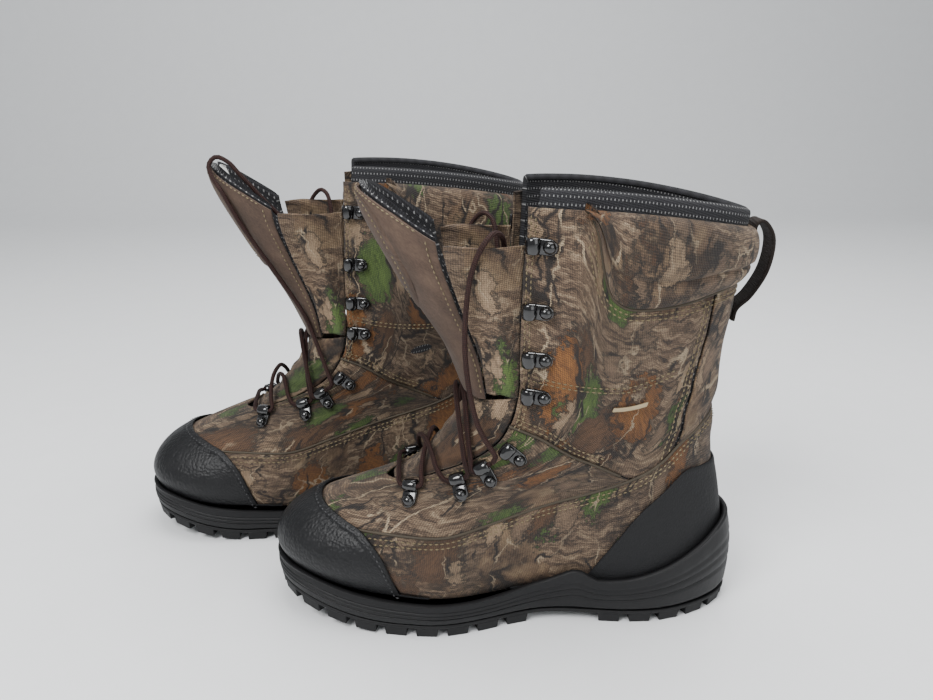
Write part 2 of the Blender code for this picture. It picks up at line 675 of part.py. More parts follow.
def lower_tongue_point(phi, v, out=0.0):
    """A point across the throat, following the loops. phi is -1 and 1 at the tongue's edges."""
    side = LATERAL if phi >= 0 else MEDIAL
    edge_angle = np.interp(v, EDGE_V, EDGE_ANGLE)
    width = np.linalg.norm(loop_point(side, edge_angle, v) - loop_point(side, np.pi, v))
    reach = (np.pi - edge_angle) * max(1 - THROAT_CLEARANCE / width, 0.5)
    return throat_point(side, np.pi - abs(phi) * reach, v, out)


def add_lower_tongue(boot):
    grid = [[(phi, v) for v in np.linspace(*LOWER_TONGUE, 8)] for phi in np.linspace(-1, 1, 11)]
    low, high = LOWER_TONGUE_LAYER
    shell(
        boot, "tongue_lower", [grid], lambda place: lower_tongue_point(*place),
        lambda place: lower_tongue_point(*place, high),
        lambda place: lower_tongue_point(*place, low), camo(),
    )


def gusset_point(side, across, t):
    """The pleated web between the tongue's edge (across 0) and the throat's edge (across 1)."""
    tongue_edge = tongue_point(side, t)
    v = crossing(side, 1.0, [(-0.05, tongue_edge[2]), (0.4, tongue_edge[2])])
    throat_edge = upper_point(side, 1.0, v)
    point = tongue_edge + (throat_edge - tongue_edge) * across
    return point + np.array((side, 0, 0)) * GUSSET_FOLD * np.sin(np.pi * across) * (0.25 + 0.75 * t)


def add_gussets(boot):
    for side, label in zip(SIDES, ("lateral", "medial")):
        half = np.array((side, 0, 0)) * GUSSET_THICKNESS / 2
        grid = [[(side, across, t) for t in np.linspace(0.10, 0.90, 5)] for across in (0.07, 0.28, 0.5, 0.72, 0.93)]
        shell(
            boot, f"gusset_{label}", [grid], lambda place: gusset_point(*place),
            lambda place: gusset_point(*place) + half,
            lambda place: gusset_point(*place) - half, camo(),
        )


def add_tongue(boot):
    leather = material("brown_nubuck", (0.16, 0.09, 0.05), 0.8)
    add_tongue_layer(boot, "tongue_face", TONGUE_FACE, np.linspace(-0.93, 0.93, 9),
                     np.linspace(0, TONGUE_FACE_TOP, 7), leather)
    add_tongue_layer(boot, "tongue_padding", TONGUE_PADDING, np.linspace(-0.93, 0.93, 9),
                     np.append(np.linspace(0, TONGUE_FACE_TOP, 7), 1.0), black_mesh())
    add_lower_tongue(boot)
    add_gussets(boot)


# The hooks.


def inset_place(side, edge_v, distance):
    """The (k, v) of the place this far from the throat's edge, square to the edge."""
    up = throat_frame(side, edge_v)[2]
    k, v = 1.0, edge_v
    steps = 10
    for _ in range(steps):
        by_k = (upper_point(side, k, v) - upper_point(side, k - 0.005, v)) / 0.005
        by_v = (upper_point(side, k, v + 0.02) - upper_point(side, k, v)) / 0.02
        away = np.cross(upper_normal(side, k, v), up) * side
        away /= np.linalg.norm(away)
        move = np.linalg.lstsq(np.stack([by_k, by_v], axis=1), away * distance / steps, rcond=None)[0]
        k, v = k + move[0], v + move[1]
    return k, v


def hook_frame(side, edge_v):
    """A hook's middle on the fabric, and its axes: away from the throat, up along it, and out."""
    up = throat_frame(side, edge_v)[2]
    k, v = inset_place(side, edge_v, HOOK_INSET)
    point, normal = upper_point(side, k, v), upper_normal(side, k, v)
    along = up - normal * (up @ normal)
    along /= np.linalg.norm(along)
    return point, np.cross(normal, along) * side, along, normal


def prism(vertices, faces, loop, hole, axis):
    """Adds an outline with an optional hole of as many points, stretched both ways along axis."""
    first, count = len(vertices), len(loop)
    for points in (loop, hole):
        for way in (1, -1):
            vertices.extend(point + axis * way for point in points)
    front, back, hole_front, hole_back = (first + count * i for i in range(4))
    for i in range(count):
        j = (i + 1) % count
        faces.append([front + i, front + j, back + j, back + i])
        if hole:
            faces.append([hole_front + j, hole_front + i, hole_back + i, hole_back + j])
            faces.append([front + i, hole_front + i, hole_front + j, front + j])
            faces.append([back + j, hole_back + j, hole_back + i, back + i])
    if not hole:
        faces.append(list(range(front, front + count)))
        faces.append(list(range(back, back + count)))


def add_hooks(boot):
    """Each side's row of hooks on the strip that carries them."""
    steel = material("black_hooks", (0.01, 0.01, 0.012), 0.25, 0.6)
    for side, label in zip(SIDES, ("lateral", "medial")):
        grid = [[(side, *inset_place(side, v, distance)) for v in HOOK_STRIP_ROWS]
                for distance in HOOK_STRIP_ACROSS]
        row = upper_shell(boot, f"hooks_{label}", [grid], HOOK_STRIP, steel)
        for number, edge_v in enumerate(HOOK_LOWER + HOOK_UPPER):
            point, away, along, normal = hook_frame(side, edge_v)
            centre = point + away * HOOK_TUNNEL[0] + normal * HOOK_TUNNEL[1]
            outline_loop = [point + away * a + normal * n for a, n in HOOK_OUTLINE]
            hole = [centre + (away * np.cos(turn) + normal * np.sin(turn)) * HOOK_TUNNEL_RADIUS
                    for turn in HOOK_TUNNEL_ANGLES]
            vertices, faces = [], []
            prism(vertices, faces, outline_loop, hole, along * HOOK_HALF_WIDTH)
            tool = add_solid(boot, f"hook_shape_{label}_{number}", vertices, faces, steel)
            tool.hide_render = True
            tool.display_type = "WIRE"
            joined = row.modifiers.new(f"hook_{number}", "BOOLEAN")
            joined.operation = "UNION"
            joined.solver = "MANIFOLD"
            joined.object = tool


# The laces.


def smooth_run(points, step):
    """Evenly spaced points on a smooth curve through these, ends included."""
    points = np.array(points, float)
    ends = np.vstack([2 * points[0] - points[1], points, 2 * points[-1] - points[-2]])
    fine = []
    for p0, p1, p2, p3 in zip(ends, ends[1:], ends[2:], ends[3:]):
        for t in np.linspace(0, 1, 24, endpoint=False):
            fine.append(0.5 * (2 * p1 + (p2 - p0) * t + (2 * p0 - 5 * p1 + 4 * p2 - p3) * t * t
                               + (3 * p1 - p0 - 3 * p2 + p3) * t ** 3))
    fine = np.array(fine + [points[-1]])
    run = np.concatenate([[0], np.cumsum(np.linalg.norm(np.diff(fine, axis=0), axis=1))])
    count = max(2, int(round(run[-1] / step)) + 1)
    return np.stack([np.interp(np.linspace(0, run[-1], count), run, fine[:, i]) for i in range(3)], axis=1)


def tunnel_ends(side, number):
    """The lower and upper mouths of a hook's tunnel, a little outside it."""
    point, away, along, normal = hook_frame(side, HOOK_LOWER[number])
    centre = point + away * HOOK_TUNNEL[0] + normal * HOOK_TUNNEL[1]
    reach = along * (HOOK_HALF_WIDTH + 0.0030)
    return centre - reach, centre + reach, along, normal


def over_throat(x, s, out):
    """The point this far outside the loops' own surface, straight over (x, s) at the throat."""
    side = LATERAL if x >= 0 else MEDIAL
    v_low, v_high = 4.5, 9.5
    for _ in range(20):
        v = (v_low + v_high) / 2
        low, high = np.pi / 2, np.pi
        for _ in range(20):
            angle = (low + high) / 2
            outside = loop_point(side, angle, v)[0] * side > abs(x)
            low, high = (angle, high) if outside else (low, angle)
        ahead = loop_point(side, angle, v)[1] > s
        v_low, v_high = (v, v_high) if ahead else (v_low, v)
    return throat_point(side, angle, v, out)


def crossing_run(leave, arrive, lift):
    """The lace over the tongue from the mouth of one hook to the mouth of another."""
    route = [leave]
    for part in (0.13, 0.31, 0.5, 0.69, 0.87):
        x, s = (leave + (arrive - leave) * part)[:2]
        route.append(over_throat(x, s, LACE_LIFT + lift * 4 * part * (1 - part)))
    return route + [arrive]


def add_lace_curve(boot, name, points):
    place = boot_matrix(boot)
    data = bpy.data.curves.new(name, "CURVE")
    data.dimensions = "3D"
    data.bevel_depth = LACE / 2
    data.bevel_resolution = 2
    data.use_fill_caps = True
    data.resolution_u = 1
    spline = data.splines.new("POLY")
    spline.points.add(len(points) - 1)
    for target, point in zip(spline.points, points):
        target.co = (*(place @ Vector(point)), 1)
    data.materials.append(material("lace_cord", (0.09, 0.035, 0.03), 0.8))
    cord = bpy.data.objects.new(f"{boot}_{name}", data)
    bpy.context.scene.collection.objects.link(cord)
    return cord


def laced_route():
    """From the top of the lateral side's last laced hook, down and back up to the medial side's."""
    feet = {side: [tunnel_ends(side, i)[0] for i in range(LACED_HOOKS)] for side in SIDES}
    tops = {side: [tunnel_ends(side, i)[1] for i in range(LACED_HOOKS)] for side in SIDES}
    runs, side = [], LATERAL
    for i in range(LACED_HOOKS - 1, 0, -1):
        runs.append(crossing_run(feet[side][i], tops[-side][i - 1], LACE_UNDER))
        side = -side
    runs.append(crossing_run(feet[side][0], feet[-side][0], LACE_UNDER))
    side = -side
    for i in range(1, LACED_HOOKS):
        runs.append(crossing_run(tops[side][i - 1], feet[-side][i], LACE_OVER))
        side = -side
    points = [tops[LATERAL][-1]]
    for run in runs:
        points.extend(smooth_run(run, LACE_STEP))
    return points + [tops[MEDIAL][-1]]


def over_tongue_top(side):
    """The way up the tongue's front and over its top."""
    climb = []
    for t in (0.03, 0.2, 0.4, 0.6, 0.8, 0.97):
        phi = side * (0.80 - 0.45 * t)
        climb.append(tongue_point(phi, t) + tongue_normal(phi, t) * 0.0034)
    return climb


def free_route(boot, side):
    """A free end: up beside the tongue, over into the shaft, and down onto the footbed."""
    _, leave, along, normal = tunnel_ends(side, LACED_HOOKS - 1)
    route = [leave + along * (LACE / 2), leave + along * 0.006 + normal * 0.003]
    if boot == "right" and side == MEDIAL:
        route += over_tongue_top(side)
        outside = FREE_OVER_TOP
    else:
        outside = FREE_OVER_GUSSET
    route += [np.array((side * x, s, z)) for x, s, z in outside + FREE_INSIDE]
    return smooth_run(route, LACE_STEP)


LACE_LIFT = 0.0050  # of a lace's middle over the tongue's virtual face
LACE_UNDER = -0.0016  # how much higher than that two crossing laces run half-way across
LACE_OVER = 0.0030
FREE_OVER_GUSSET = (
    (0.0390, 0.1820, 0.1400), (0.0370, 0.1880, 0.1650), (0.0375, 0.1905, 0.1900),
    (0.0400, 0.1900, 0.2150), (0.0430, 0.1870, 0.2380), (0.0450, 0.1800, 0.2550),
    (0.0380, 0.1720, 0.2600), (0.0290, 0.1670, 0.2500),
)
FREE_OVER_TOP = (
    (0.0190, 0.2500, 0.2895), (0.0185, 0.2400, 0.2900), (0.0180, 0.2290, 0.2780), (0.0170, 0.2000, 0.2450),
)
FREE_INSIDE = (
    (0.0220, 0.1650, 0.2200), (0.0170, 0.1640, 0.1850), (0.0140, 0.1660, 0.1500), (0.0130, 0.1720, 0.1200),
    (0.0130, 0.1700, 0.0850), (0.0130, 0.1600, 0.0550), (0.0140, 0.1620, 0.0375), (0.0170, 0.1850, 0.0350),
    (0.0150, 0.2100, 0.0366), (0.0080, 0.2280, 0.0380),
)


def add_laces(boot):
    add_lace_curve(boot, "lace", laced_route())
    add_lace_curve(boot, "lace_end_lateral", free_route(boot, LATERAL))
    add_lace_curve(boot, "lace_end_medial", free_route(boot, MEDIAL))


# The pull loop.

LOOP_LINE = (
    (0.0098, 0.2490), (0.0092, 0.2580), (0.0040, 0.2600), (-0.0020, 0.2520), (-0.0030, 0.2410),
    (0.0000, 0.2270), (0.0080, 0.2130), (0.0160, 0.2050), (0.0178, 0.1970),
)  # the pull loop's centre line (s, z), from the cuff down to the backstay
LOOP_THICKNESS = 0.0024
LOOP_HALF_WIDTH = 0.0080


def add_pull_loop(boot):
    line = smooth_run([(0, s, z) for s, z in LOOP_LINE], 0.0065)
    lean = np.gradient(line, axis=0)
    normal = np.stack([np.zeros(len(line)), lean[:, 2], -lean[:, 1]], axis=1)
    normal /= np.linalg.norm(normal, axis=1, keepdims=True)
    outer, inner = line + normal * LOOP_THICKNESS / 2, line - normal * LOOP_THICKNESS / 2
    vertices, faces = [], []
    prism(vertices, faces, list(outer) + list(inner[::-1]), [], np.array((LOOP_HALF_WIDTH, 0, 0)))
    add_solid(boot, "pull_loop", vertices, faces, material("brown_webbing", (0.10, 0.06, 0.04), 0.85))


def main():
    for item in list(bpy.data.objects):
        bpy.data.objects.remove(item, do_unlink=True)
    for boot in ("left", "right"):
        add_sole(boot)
        add_quarter(boot)
        add_vamp(boot)
        add_shafts(boot)
        add_backstay(boot)
        add_collar(boot)
        add_bootie(boot, "insulation", INSULATION, TOP - 0.1, material("insulation", (0.75, 0.75, 0.7), 0.95))
        add_bootie(boot, "lining", LINING, LINING_TOP, black_mesh())
        add_caps(boot)
        add_tongue(boot)
        add_hooks(boot)
        add_laces(boot)
        add_pull_loop(boot)


main()
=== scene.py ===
"""The looks of a pair of insulated hunting boots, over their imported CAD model.

Each boot is worked out in its own frame, in which a point is (x, s, z): x runs out to the boot's
lateral side, s runs forward from the back of the heel to the toe, and z runs up from the ground.
The upper is one smooth surface through a stack of horizontal loops. A place on it is (side, k, v):
side is +1 on the lateral half and -1 on the medial half, k runs along a loop from the back of the
boot (0) to its front edge (1), and v runs up through the loops, from the sole to the collar.
"""

import bmesh
import bpy
import numpy as np
from mathutils import Matrix, Vector


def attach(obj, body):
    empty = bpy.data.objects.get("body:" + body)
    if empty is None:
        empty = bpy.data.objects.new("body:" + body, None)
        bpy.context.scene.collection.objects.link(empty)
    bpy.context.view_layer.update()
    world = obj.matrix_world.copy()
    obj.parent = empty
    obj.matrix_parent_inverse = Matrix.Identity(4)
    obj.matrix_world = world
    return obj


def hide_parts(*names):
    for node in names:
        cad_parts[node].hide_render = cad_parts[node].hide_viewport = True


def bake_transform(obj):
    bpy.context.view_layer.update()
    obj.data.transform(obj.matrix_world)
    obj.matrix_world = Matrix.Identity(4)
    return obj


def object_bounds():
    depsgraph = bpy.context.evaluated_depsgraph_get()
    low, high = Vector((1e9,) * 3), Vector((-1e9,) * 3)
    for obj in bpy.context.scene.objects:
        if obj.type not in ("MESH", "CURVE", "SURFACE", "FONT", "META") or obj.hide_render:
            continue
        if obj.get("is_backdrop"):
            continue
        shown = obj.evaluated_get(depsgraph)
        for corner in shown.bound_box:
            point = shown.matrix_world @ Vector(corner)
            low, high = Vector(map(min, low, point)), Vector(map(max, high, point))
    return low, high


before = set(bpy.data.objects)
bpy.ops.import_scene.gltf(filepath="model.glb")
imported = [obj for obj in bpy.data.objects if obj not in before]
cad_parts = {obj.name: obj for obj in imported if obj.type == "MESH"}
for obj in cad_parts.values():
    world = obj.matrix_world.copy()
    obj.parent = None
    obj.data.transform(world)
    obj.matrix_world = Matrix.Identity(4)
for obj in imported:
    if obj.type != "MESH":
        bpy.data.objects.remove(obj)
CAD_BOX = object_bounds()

# Driving dimensions of one boot.
SEAM = 0.0004  # clearance between two panels of the same layer
RIGHT_HEEL = (-0.1511, 0.1202)  # the right heel's (x, s) in the left boot's frame
RIGHT_YAW = np.radians(4.9)  # the right boot is toed in by this much
PAIR_CENTRE = (-0.0713, 0.2163)  # the (x, s) of the left boot's frame that is the world's origin

# The loops of the outer fabric face. Each row: back point (s, z), height half-way along, front
# point (s, z), then the half-width at four places along the loop, lateral and medial.
LOOPS = (
    (0.0120, 0.0290, 0.0232, 0.3095, 0.0350, 0.0345, 0.0340, 0.0505, 0.0370, 0.0345, 0.0295, 0.0490, 0.0390),
    (0.0130, 0.0480, 0.0420, 0.3150, 0.0480, 0.0365, 0.0365, 0.0535, 0.0400, 0.0365, 0.0320, 0.0515, 0.0415),
    (0.0160, 0.0680, 0.0600, 0.3110, 0.0590, 0.0365, 0.0370, 0.0515, 0.0375, 0.0365, 0.0330, 0.0500, 0.0380),
    (0.0195, 0.0870, 0.0760, 0.2990, 0.0700, 0.0350, 0.0365, 0.0460, 0.0300, 0.0350, 0.0340, 0.0450, 0.0300),
    (0.0230, 0.1030, 0.0900, 0.2790, 0.0800, 0.0335, 0.0365, 0.0400, 0.0235, 0.0335, 0.0350, 0.0390, 0.0235),
    (0.0243, 0.1180, 0.1020, 0.2540, 0.0885, 0.0330, 0.0375, 0.0375, 0.0225, 0.0330, 0.0365, 0.0370, 0.0225),
    (0.0247, 0.1350, 0.1160, 0.2290, 0.0970, 0.0325, 0.0395, 0.0380, 0.0235, 0.0325, 0.0390, 0.0375, 0.0235),
    (0.0245, 0.1560, 0.1390, 0.2070, 0.1190, 0.0325, 0.0425, 0.0405, 0.0265, 0.0325, 0.0425, 0.0400, 0.0265),
    (0.0235, 0.1780, 0.1640, 0.1880, 0.1480, 0.0330, 0.0455, 0.0440, 0.0300, 0.0330, 0.0455, 0.0440, 0.0300),
    (0.0215, 0.2000, 0.1910, 0.1775, 0.1810, 0.0335, 0.0480, 0.0470, 0.0335, 0.0335, 0.0480, 0.0470, 0.0335),
    (0.0190, 0.2210, 0.2180, 0.1730, 0.2150, 0.0340, 0.0500, 0.0490, 0.0360, 0.0340, 0.0500, 0.0490, 0.0360),
    (0.0162, 0.2410, 0.2450, 0.1710, 0.2460, 0.0345, 0.0515, 0.0500, 0.0372, 0.0345, 0.0515, 0.0500, 0.0372),
    (0.0135, 0.2580, 0.2715, 0.1700, 0.2740, 0.0350, 0.0520, 0.0505, 0.0378, 0.0350, 0.0520, 0.0505, 0.0378),
    (0.0120, 0.2700, 0.2835, 0.1700, 0.2860, 0.0350, 0.0520, 0.0505, 0.0378, 0.0350, 0.0520, 0.0505, 0.0378),
)
WIDTH_AT = np.array((0.12, 0.42, 0.70, 0.90))  # where along a loop its half-widths are given
FULLNESS = 0.85  # under 1, a loop's ends are blunter than an ellipse's
TOP = 12.0  # v of the collar's edge
LINING_TOP = 12.9  # v of the lining's edge, which stands above the collar
THROAT = 5.5  # v of the throat's lower end
TOE_SHIFT = 0.008  # how far the toe leans to the medial side
HALF_GAP = (
    (5.5, 0.0), (5.7, 0.0130), (6.0, 0.0200), (6.2, 0.0240), (6.55, 0.0305), (7.0, 0.0350), (7.5, 0.0366),
    (8.0, 0.0370), (8.5, 0.0370), (9.0, 0.0366), (10.0, 0.0362), (11.0, 0.0364), (12.0, 0.0370),
    (13.0, 0.0372),
)  # the throat's half-width at each v
INSIDE_SETBACK = 0.055  # how far the inner layers stop short of the throat's edge, in k

# Seams of the side view, as (s, z).
QUARTER_SEAM = (
    (0.0, 0.1500), (0.042, 0.1331), (0.076, 0.1062), (0.110, 0.0925), (0.1315, 0.0862),
    (0.175, 0.0745), (0.209, 0.0685), (0.2435, 0.0690), (0.330, 0.0690),
)
WING_SEAM = ((0.0, 0.050), (0.085, 0.1010), (0.121, 0.1186), (0.145, 0.1334), (0.166, 0.1406), (0.22, 0.1460))
CUFF_SEAM = (
    (0.0, 0.2270), (0.039, 0.2232), (0.0665, 0.2176), (0.0863, 0.2166), (0.1060, 0.2229),
    (0.1125, 0.2400), (0.1165, 0.2600), (0.1230, 0.2740), (0.20, 0.40),
)
MID_SEAM = (
    (0.0414, 0.1791), (0.0762, 0.1658), (0.0965, 0.1617), (0.1342, 0.1650), (0.1587, 0.1693), (0.20, 0.172),
)
TOE_CAP_EDGE = (
    (0.0, -0.1), (0.228, 0.010), (0.2310, 0.0202), (0.2410, 0.0510), (0.2530, 0.0660),
    (0.2680, 0.0725), (0.2860, 0.0785), (0.330, 0.110),
)
HEEL_CAP_EDGE = (
    (0.0, 0.1040), (0.023, 0.1040), (0.045, 0.1055), (0.064, 0.0923), (0.083, 0.0741),
    (0.095, 0.0569), (0.106, 0.0401), (0.114, 0.0260), (0.33, -0.10),
)
EVEN_K = 0.26  # from here forward the columns spread to follow the throat's edge
BACKSTAY_K = 0.25  # the backstay's half-width, along the loops
COLLAR_FRONT = 0.745  # k of the padded collar's front end

# The sole unit.
LUG_DEPTH = 0.0060
PLATE_THICKNESS = 0.0032
SOLE_RISE = ((0.0, 0.0), (0.74, 0.0), (1.0, 0.0140))  # toe spring, against the place along the sole
RIM = 0.0043  # the midsole's rim stands this far outside the fabric
RIM_THICKNESS = 0.0034

# The tongue: centre line (s, z) from its hinge to its top, half-width, depth of the wrap, and how
# far its edges drop below its centre.
TONGUE = (
    (0.1900, 0.1545, 0.0270, 0.0140, 0.0000),
    (0.2030, 0.1850, 0.0290, 0.0220, 0.0030),
    (0.2290, 0.2280, 0.0330, 0.0360, 0.0130),
    (0.2520, 0.2740, 0.0370, 0.0500, 0.0300),
    (0.2545, 0.2850, 0.0375, 0.0510, 0.0310),
)
TONGUE_FACE_TOP = 0.93  # how far up the tongue its leather reaches
LOWER_TONGUE = (5.78, 7.80)  # v of the lower tongue's ends
LOWER_TONGUE_LAYER = (-0.0042, -0.0010)  # as distances outside the virtual fabric face
THROAT_CLEARANCE = 0.0032  # between the lower tongue and the throat's edge
GUSSET_FOLD = 0.0060  # how far the gusset's pleat stands out
HOOK_LOWER = (5.78, 6.22, 6.62, 7.08)  # v of each hook's place on the throat's edge
HOOK_UPPER = (8.30, 9.05, 9.98, 11.25)
HOOK_INSET = 0.0120  # from the throat's edge to the middle of a hook
LACE = 0.0033  # diameter
LACE_STEP = 0.0098  # between a lace's points
LACED_HOOKS = 3  # hooks in use on each side

# A hook seen along the lace, as (a, n): a runs away from the throat and n out from the fabric.
HOOK_TUNNEL = (-0.0053, 0.0042)  # centre of the hole for the lace
HOOK_HALF_WIDTH = 0.0036

SIDES = (1, -1)
LATERAL, MEDIAL = SIDES


def smooth(points):
    """A function that runs smoothly through (x, y...) points and doesn't overshoot them."""
    table = np.array(points, float)
    xs, ys = table[:, 0], table[:, 1:]
    steps = np.diff(xs)[:, None]
    slopes = np.diff(ys, axis=0) / steps
    inner = (slopes[:-1] * steps[1:] + slopes[1:] * steps[:-1]) / (steps[:-1] + steps[1:])
    inner[slopes[:-1] * slopes[1:] <= 0] = 0
    limit = 3 * np.minimum(abs(slopes[:-1]), abs(slopes[1:]))
    inner = np.clip(inner, -limit, limit)
    tangents = np.vstack([slopes[:1], inner, slopes[-1:]])

    def at(x):
        x = np.asarray(x, float)
        i = np.clip(np.searchsorted(xs, x, side="right") - 1, 0, len(xs) - 2)
        h = steps[i, 0]
        t = np.clip((x - xs[i]) / h, 0, 1)[..., None]
        h = h[..., None]
        start = (1 + 2 * t) * (1 - t) ** 2 * ys[i] + t * (1 - t) ** 2 * h * tangents[i]
        return start + t * t * (3 - 2 * t) * ys[i + 1] + t * t * (t - 1) * h * tangents[i + 1]

    return at


loop_at = smooth([(v, *row) for v, row in enumerate(LOOPS)])
half_gap_at = smooth(HALF_GAP)
tongue_at = smooth([(t, *row) for t, row in zip(np.linspace(0, 1, len(TONGUE)), TONGUE)])
sole_rise_at = smooth(SOLE_RISE)


def loop_point(side, angle, v):
    """The point at an angle from 0, at the back of the loop v, to pi, at its virtual front."""
    angle, v = np.broadcast_arrays(np.asarray(angle, float), np.asarray(v, float))
    row = loop_at(v)
    along = (1 - np.cos(angle)) / 2
    rounding = np.sin(np.clip(angle, 0, np.pi)) ** FULLNESS
    first = 5 if side == LATERAL else 9
    widths = row[..., first:first + 4] / (2 * np.sqrt(WIDTH_AT * (1 - WIDTH_AT))) ** FULLNESS
    width = np.zeros_like(along)
    knots = np.concatenate([[0.0], WIDTH_AT, [1.0]])
    ease = np.clip((along[..., None] - knots[:-1]) / np.diff(knots), 0, 1)
    ease = ease * ease * (3 - 2 * ease)
    levels = np.concatenate([widths[..., :1], widths, widths[..., -1:]], axis=-1)
    width = levels[..., 0] + (np.diff(levels, axis=-1) * ease).sum(-1)
    fade = np.clip(1 - v / THROAT, 0, 1)
    x = side * width * rounding - TOE_SHIFT * fade * along ** 2
    s = row[..., 0] + (row[..., 3] - row[..., 0]) * along
    back, middle, front = row[..., 1], row[..., 2], row[..., 4]
    z = back + (front - back) * along + (middle - (back + front) / 2) * 4 * along * (1 - along)
    return np.stack([x, s, z], axis=-1)


def front_edge_table():
    """For each v, the angle at which a loop meets the throat's edge."""
    levels = np.linspace(0, len(LOOPS) - 1, 261)
    gap = half_gap_at(levels)[:, 0]
    low, high = np.full_like(levels, np.pi / 2), np.full_like(levels, np.pi)
    for _ in range(40):
        middle = (low + high) / 2
        outside = loop_point(LATERAL, middle, levels)[:, 0] > gap
        low, high = np.where(outside, middle, low), np.where(outside, high, middle)
    return levels, np.where(levels <= THROAT, np.pi, low)


EDGE_V, EDGE_ANGLE = front_edge_table()


def upper_point(side, k, v):
    k = np.asarray(k, float)
    bend = np.clip((k - EVEN_K) / (1 - EVEN_K), 0, 1) ** 1.5
    return loop_point(side, np.pi * k - (np.pi - np.interp(v, EDGE_V, EDGE_ANGLE)) * bend, v)


def upper_normal(side, k, v):
    """The outward normal of the fabric face."""
    step = 1e-3
    k, v = np.broadcast_arrays(np.asarray(k, float), np.asarray(v, float))
    k0 = np.clip(k - step, 0, 1 - 2 * step)
    v0 = np.clip(v - 20 * step, 0, len(LOOPS) - 1 - 40 * step)
    along = upper_point(side, k0 + 2 * step, v) - upper_point(side, k0, v)
    up = upper_point(side, k, v0 + 40 * step) - upper_point(side, k, v0)
    normal = np.cross(along, up) * side
    centred = (k <= 0) | ((k >= 1) & (v <= THROAT))
    normal[..., 0] = np.where(centred, 0, normal[..., 0])
    return normal / np.linalg.norm(normal, axis=-1, keepdims=True)


def crossing(side, k, seam, shift=0.0):
    """The v at which the line k crosses a seam of the side view, moved up by shift along its normal."""
    table = np.array(seam, float)
    xs = np.linspace(table[0, 0], table[-1, 0], 200)
    zs = smooth(seam)(xs)[:, 0]
    lean = np.gradient(zs, xs)
    length = np.sqrt(1 + lean ** 2)
    moved_s, moved_z = xs - shift * lean / length, zs + shift / length
    k = np.asarray(k, float)
    low, high = np.zeros_like(k), np.full_like(k, TOP)
    for _ in range(40):
        middle = (low + high) / 2
        point = upper_point(side, k, middle)
        below = point[..., 2] < np.interp(point[..., 1], moved_s, moved_z)
        low, high = np.where(below, middle, low), np.where(below, high, middle)
    return low


def boot_matrix(boot):
    """From a boot's own (x, s, z) to the world."""
    if boot == "left":
        axes, heel = ((1, 0), (0, 1)), (0.0, 0.0)
    else:
        sine, cosine = np.sin(RIGHT_YAW), np.cos(RIGHT_YAW)
        axes, heel = ((-cosine, sine), (sine, cosine)), RIGHT_HEEL
    (out_x, out_s), (ahead_x, ahead_s) = axes
    origin_x, origin_s = heel[0] - PAIR_CENTRE[0], heel[1] - PAIR_CENTRE[1]
    return Matrix((
        (out_x, ahead_x, 0, origin_x),
        (-out_s, -ahead_s, 0, -origin_s),
        (0, 0, 1, 0),
        (0, 0, 0, 1),
    ))


def outline(side, k, out, v=0.0):
    """A point of the sole's outline: the upper's lower edge, moved out level by this much."""
    normal = upper_normal(side, k, v)
    normal[..., 2] = 0
    normal /= np.linalg.norm(normal, axis=-1, keepdims=True)
    return upper_point(side, k, v) + normal * out


def ground_height(s):
    """The underside of the tread, with its toe spring."""
    return sole_rise_at(s / (LOOPS[0][3] + 0.008))[..., 0]


def midsole_base(s):
    return LUG_DEPTH + PLATE_THICKNESS + ground_height(s)


RIM_TOP = smooth((
    (0.0, 0.0690), (0.020, 0.0620), (0.036, 0.0530), (0.060, 0.0420), (0.085, 0.0340),
    (0.102, 0.0325), (0.118, 0.0400), (0.135, 0.0330), (0.158, 0.0265), (0.190, 0.0235),
    (0.235, 0.0250), (0.270, 0.0300), (0.300, 0.0365), (0.330, 0.0400),
))  # the height of the midsole's rim in the side view


def rim_height(s):
    return RIM_TOP(s)[..., 0]


def tongue_point(phi, t):
    """A point of the tongue's front face: phi runs across it from -1 to 1, t up from the hinge."""
    s, z, half_width, wrap, drop = np.moveaxis(tongue_at(t), -1, 0)
    turn = np.asarray(phi) * np.pi / 2
    back = 1 - np.cos(turn)
    return np.stack([half_width * np.sin(turn), s - wrap * back, z - drop * back], axis=-1)


def tongue_normal(phi, t):
    step = 1e-3
    phi0, t0 = np.clip(phi, -1 + step, 1 - step), np.clip(t, step, 1 - step)
    across = tongue_point(phi0 + step, t0) - tongue_point(phi0 - step, t0)
    up = tongue_point(phi0, t0 + step) - tongue_point(phi0, t0 - step)
    normal = np.cross(up, across)
    return normal / np.linalg.norm(normal)


def throat_frame(side, v):
    """The throat's edge at v: its point, its normal, and the direction up along it."""
    point = upper_point(side, 1.0, v)
    up = upper_point(side, 1.0, v + 0.2) - upper_point(side, 1.0, v - 0.2)
    return point, upper_normal(side, 1.0, v), up / np.linalg.norm(up)


def throat_point(side, angle, v, out):
    """A point out from the loops' own surface, which the throat's opening is cut from."""
    step = 1e-3
    below = min(angle, np.pi - step)
    along = loop_point(side, below + step, v) - loop_point(side, below - step, v)
    up = loop_point(side, below, v + 20 * step) - loop_point(side, below, v - 20 * step)
    normal = np.cross(along, up) * side
    normal[0] *= angle < np.pi
    return loop_point(side, angle, v) + normal / np.linalg.norm(normal) * out


def lower_tongue_point(phi, v, out=0.0):
    """A point across the throat, following the loops. phi is -1 and 1 at the tongue's edges."""
    side = LATERAL if phi >= 0 else MEDIAL
    edge_angle = np.interp(v, EDGE_V, EDGE_ANGLE)
    width = np.linalg.norm(loop_point(side, edge_angle, v) - loop_point(side, np.pi, v))
    reach = (np.pi - edge_angle) * max(1 - THROAT_CLEARANCE / width, 0.5)
    return throat_point(side, np.pi - abs(phi) * reach, v, out)


